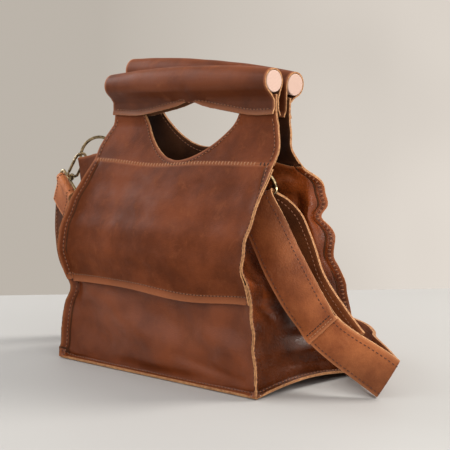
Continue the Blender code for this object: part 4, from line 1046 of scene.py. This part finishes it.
def openRound(middle, bar, fromBelow, toBelow):
    # Up in front of a bar, over it and down behind, leaving towards two places below.
    middle, bar = np.array(middle), np.array(bar)
    ways = [unit(np.subtract(place, middle) - np.dot(np.subtract(place, middle), bar) * bar)
            for place in (fromBelow, toBelow)]
    behind = np.cross(bar, ways[0])
    angles = np.linspace(math.pi, math.acos(np.dot(*ways)), 8)[:, None]
    points = middle + strap["bend"] * (np.cos(angles) * behind - np.sin(angles) * ways[0])
    return points, np.broadcast_to(bar, points.shape)


def onFloor(place, leanOver, heading):
    # A station that leans over on the floor: both plies and half the width give the middle's height.
    lean = math.radians(leanOver)
    rightHand = unit((heading[1], -heading[0], 0))
    plies = abs(math.cos(lean)) * (strap["ply"] + body["gap"])
    middle = np.array([*place, body["gap"] + plies + math.sin(lean) * strap["width"] / 2])
    return middle, rightHand * math.cos(lean) + np.array([0, 0, math.sin(lean)])


def alongStations(stations, spacing):
    # Even steps over the length travelled, on a smooth cubic through the stations.
    points, directions = (np.array(v, float) for v in zip(*stations))
    lengths = travelled(points)
    at = np.linspace(0, lengths[-1], int(round(lengths[-1] / spacing)) + 1)
    return smoothThrough(lengths, points, at), smoothThrough(lengths, unit(directions), at)


def strapWay():
    # The middle line of the strap and the direction across it, from the left eye round to the back run's end,
    # with the rows near which the joint and the right loop lie.
    left, leftAcross = lappedRound(*eyeBars["left"], strap["turnLength"])
    right, rightAcross = openRound(*eyeBars["right"], frontRun[-1][0], backRun[0][0])
    headings = np.gradient(np.array([place for place, lean in floorRun]), axis=0)
    foldIn, foldOut = unit(strapFold["from"]), unit(np.subtract(frontRun[0][0], strapFold["place"]))
    crest, line, reach = np.array(strapFold["place"]), strapFold["line"], 2 * strap["foldRadius"]
    floor = [onFloor(place, lean, heading) for (place, lean), heading in zip(floorRun, headings)]
    low, lowAcross = alongStations([(left[-1], leftAcross[-1]), *leftHang, *floor, *toFoldRun,
                                    (crest - foldIn * reach, line)], strap["width"] / 3)
    fold = bezier(low[-1], crest, crest, crest + foldOut * reach, 7)
    front, frontAcross = alongStations([(fold[-1], line), *frontRun, (right[0], rightAcross[0])],
                                       strap["width"] / 2)
    back, backAcross = alongStations([(right[-1], rightAcross[-1]), *backRun], strap["width"] / 2)
    way = np.concatenate([left, low[1:], fold[1:-1], front, right[1:], back[1:]])
    foldAcross = np.broadcast_to(unit(line), fold[1:-1].shape)
    across = np.concatenate([leftAcross, lowAcross[1:], foldAcross, frontAcross, rightAcross[1:],
                             backAcross[1:]])
    # The stretches share their end points, so the loop's first row is four less than the sum of their counts.
    beforeFront = len(left) + len(low) + len(fold)
    return way, unit(across), beforeFront, beforeFront + len(front) - 4


strapMiddle, strapAcross, beforeJoint, loopRow = strapWay()
flatness = np.linalg.norm(strapAcross[:, :2], axis=1)
lowerEdge = strapMiddle[:, 2] - np.abs(strapAcross[:, 2]) * strap["width"] / 2
strapMiddle[:, 2] += np.maximum(0, body["gap"] + flatness * (strap["ply"] + body["gap"]) - lowerEdge)
shares = np.linspace(-strap["width"] / 2, strap["width"] / 2, 3)
band = refined(strapMiddle[:, None] + strapAcross[:, None] * shares[:, None], strap["rowSteps"], 6)
rows = np.arange(len(band)) / strap["rowSteps"]
joint = beforeJoint + strap["jointShare"]
crown = ease(rows - joint) * ease((loopRow - rows) / 2)
curl = (strap["edgeCurl"] + strap["crown"] * crown)[:, None] * np.linspace(-1, 1, band.shape[1]) ** 2
band = band - surfaceNormals(band) * curl[..., None]
jointRow = int(round(joint * strap["rowSteps"]))
lapRise = strap["ply"] * (1 - ease((np.arange(len(band) - jointRow + 1) - 1) / 4))
near, far = strap["faces"]
# The lining and strapTop tones paint shade towards the top; the strap tone paints shade at the fold's foot and
# light above.
for name, guide, faces, outer, inner, node, slot in (
        ("Lining", band, (-far, -near), "flesh", "lining", "_lining", "dark_leather"),
        ("Long", band[:jointRow + 1], (near, far), "strap", "flesh", "_long_ply", "light_leather"),
        ("Short", band[jointRow - 1:], (near + lapRise, far + lapRise), "strapTop", "flesh", "_short_ply",
         "light_leather")):
    fitted(ply("strap" + name + "Skin", guide, *faces, hide[outer], hide[inner]), "bag", "strap" + node)
for name, tone, slot, face in (("Outer", "brown", "dark_leather", far),
                               ("Inner", "tan", "light_leather", -far)):
    runs = [edgeRun(band, e, inset, face) for e, inset in zip(("left", "right"), strap["stitchInsets"])]
    stitches("strap" + name + "Stitches", runs, tone, "bag")
for name, tone, past in (("Joint", "dark", 1), ("JointSecond", "light", 0)):
    out = surfaceNormals(band)[jointRow + past, 1:-1]
    run = [(band[jointRow + past, 1:-1] + out * (far + lapRise[1 + past]), out)]
    stitches("strap" + name + "Stitches", run, tone, "bag", "joint")
print("strap made:", len(band), "rows")
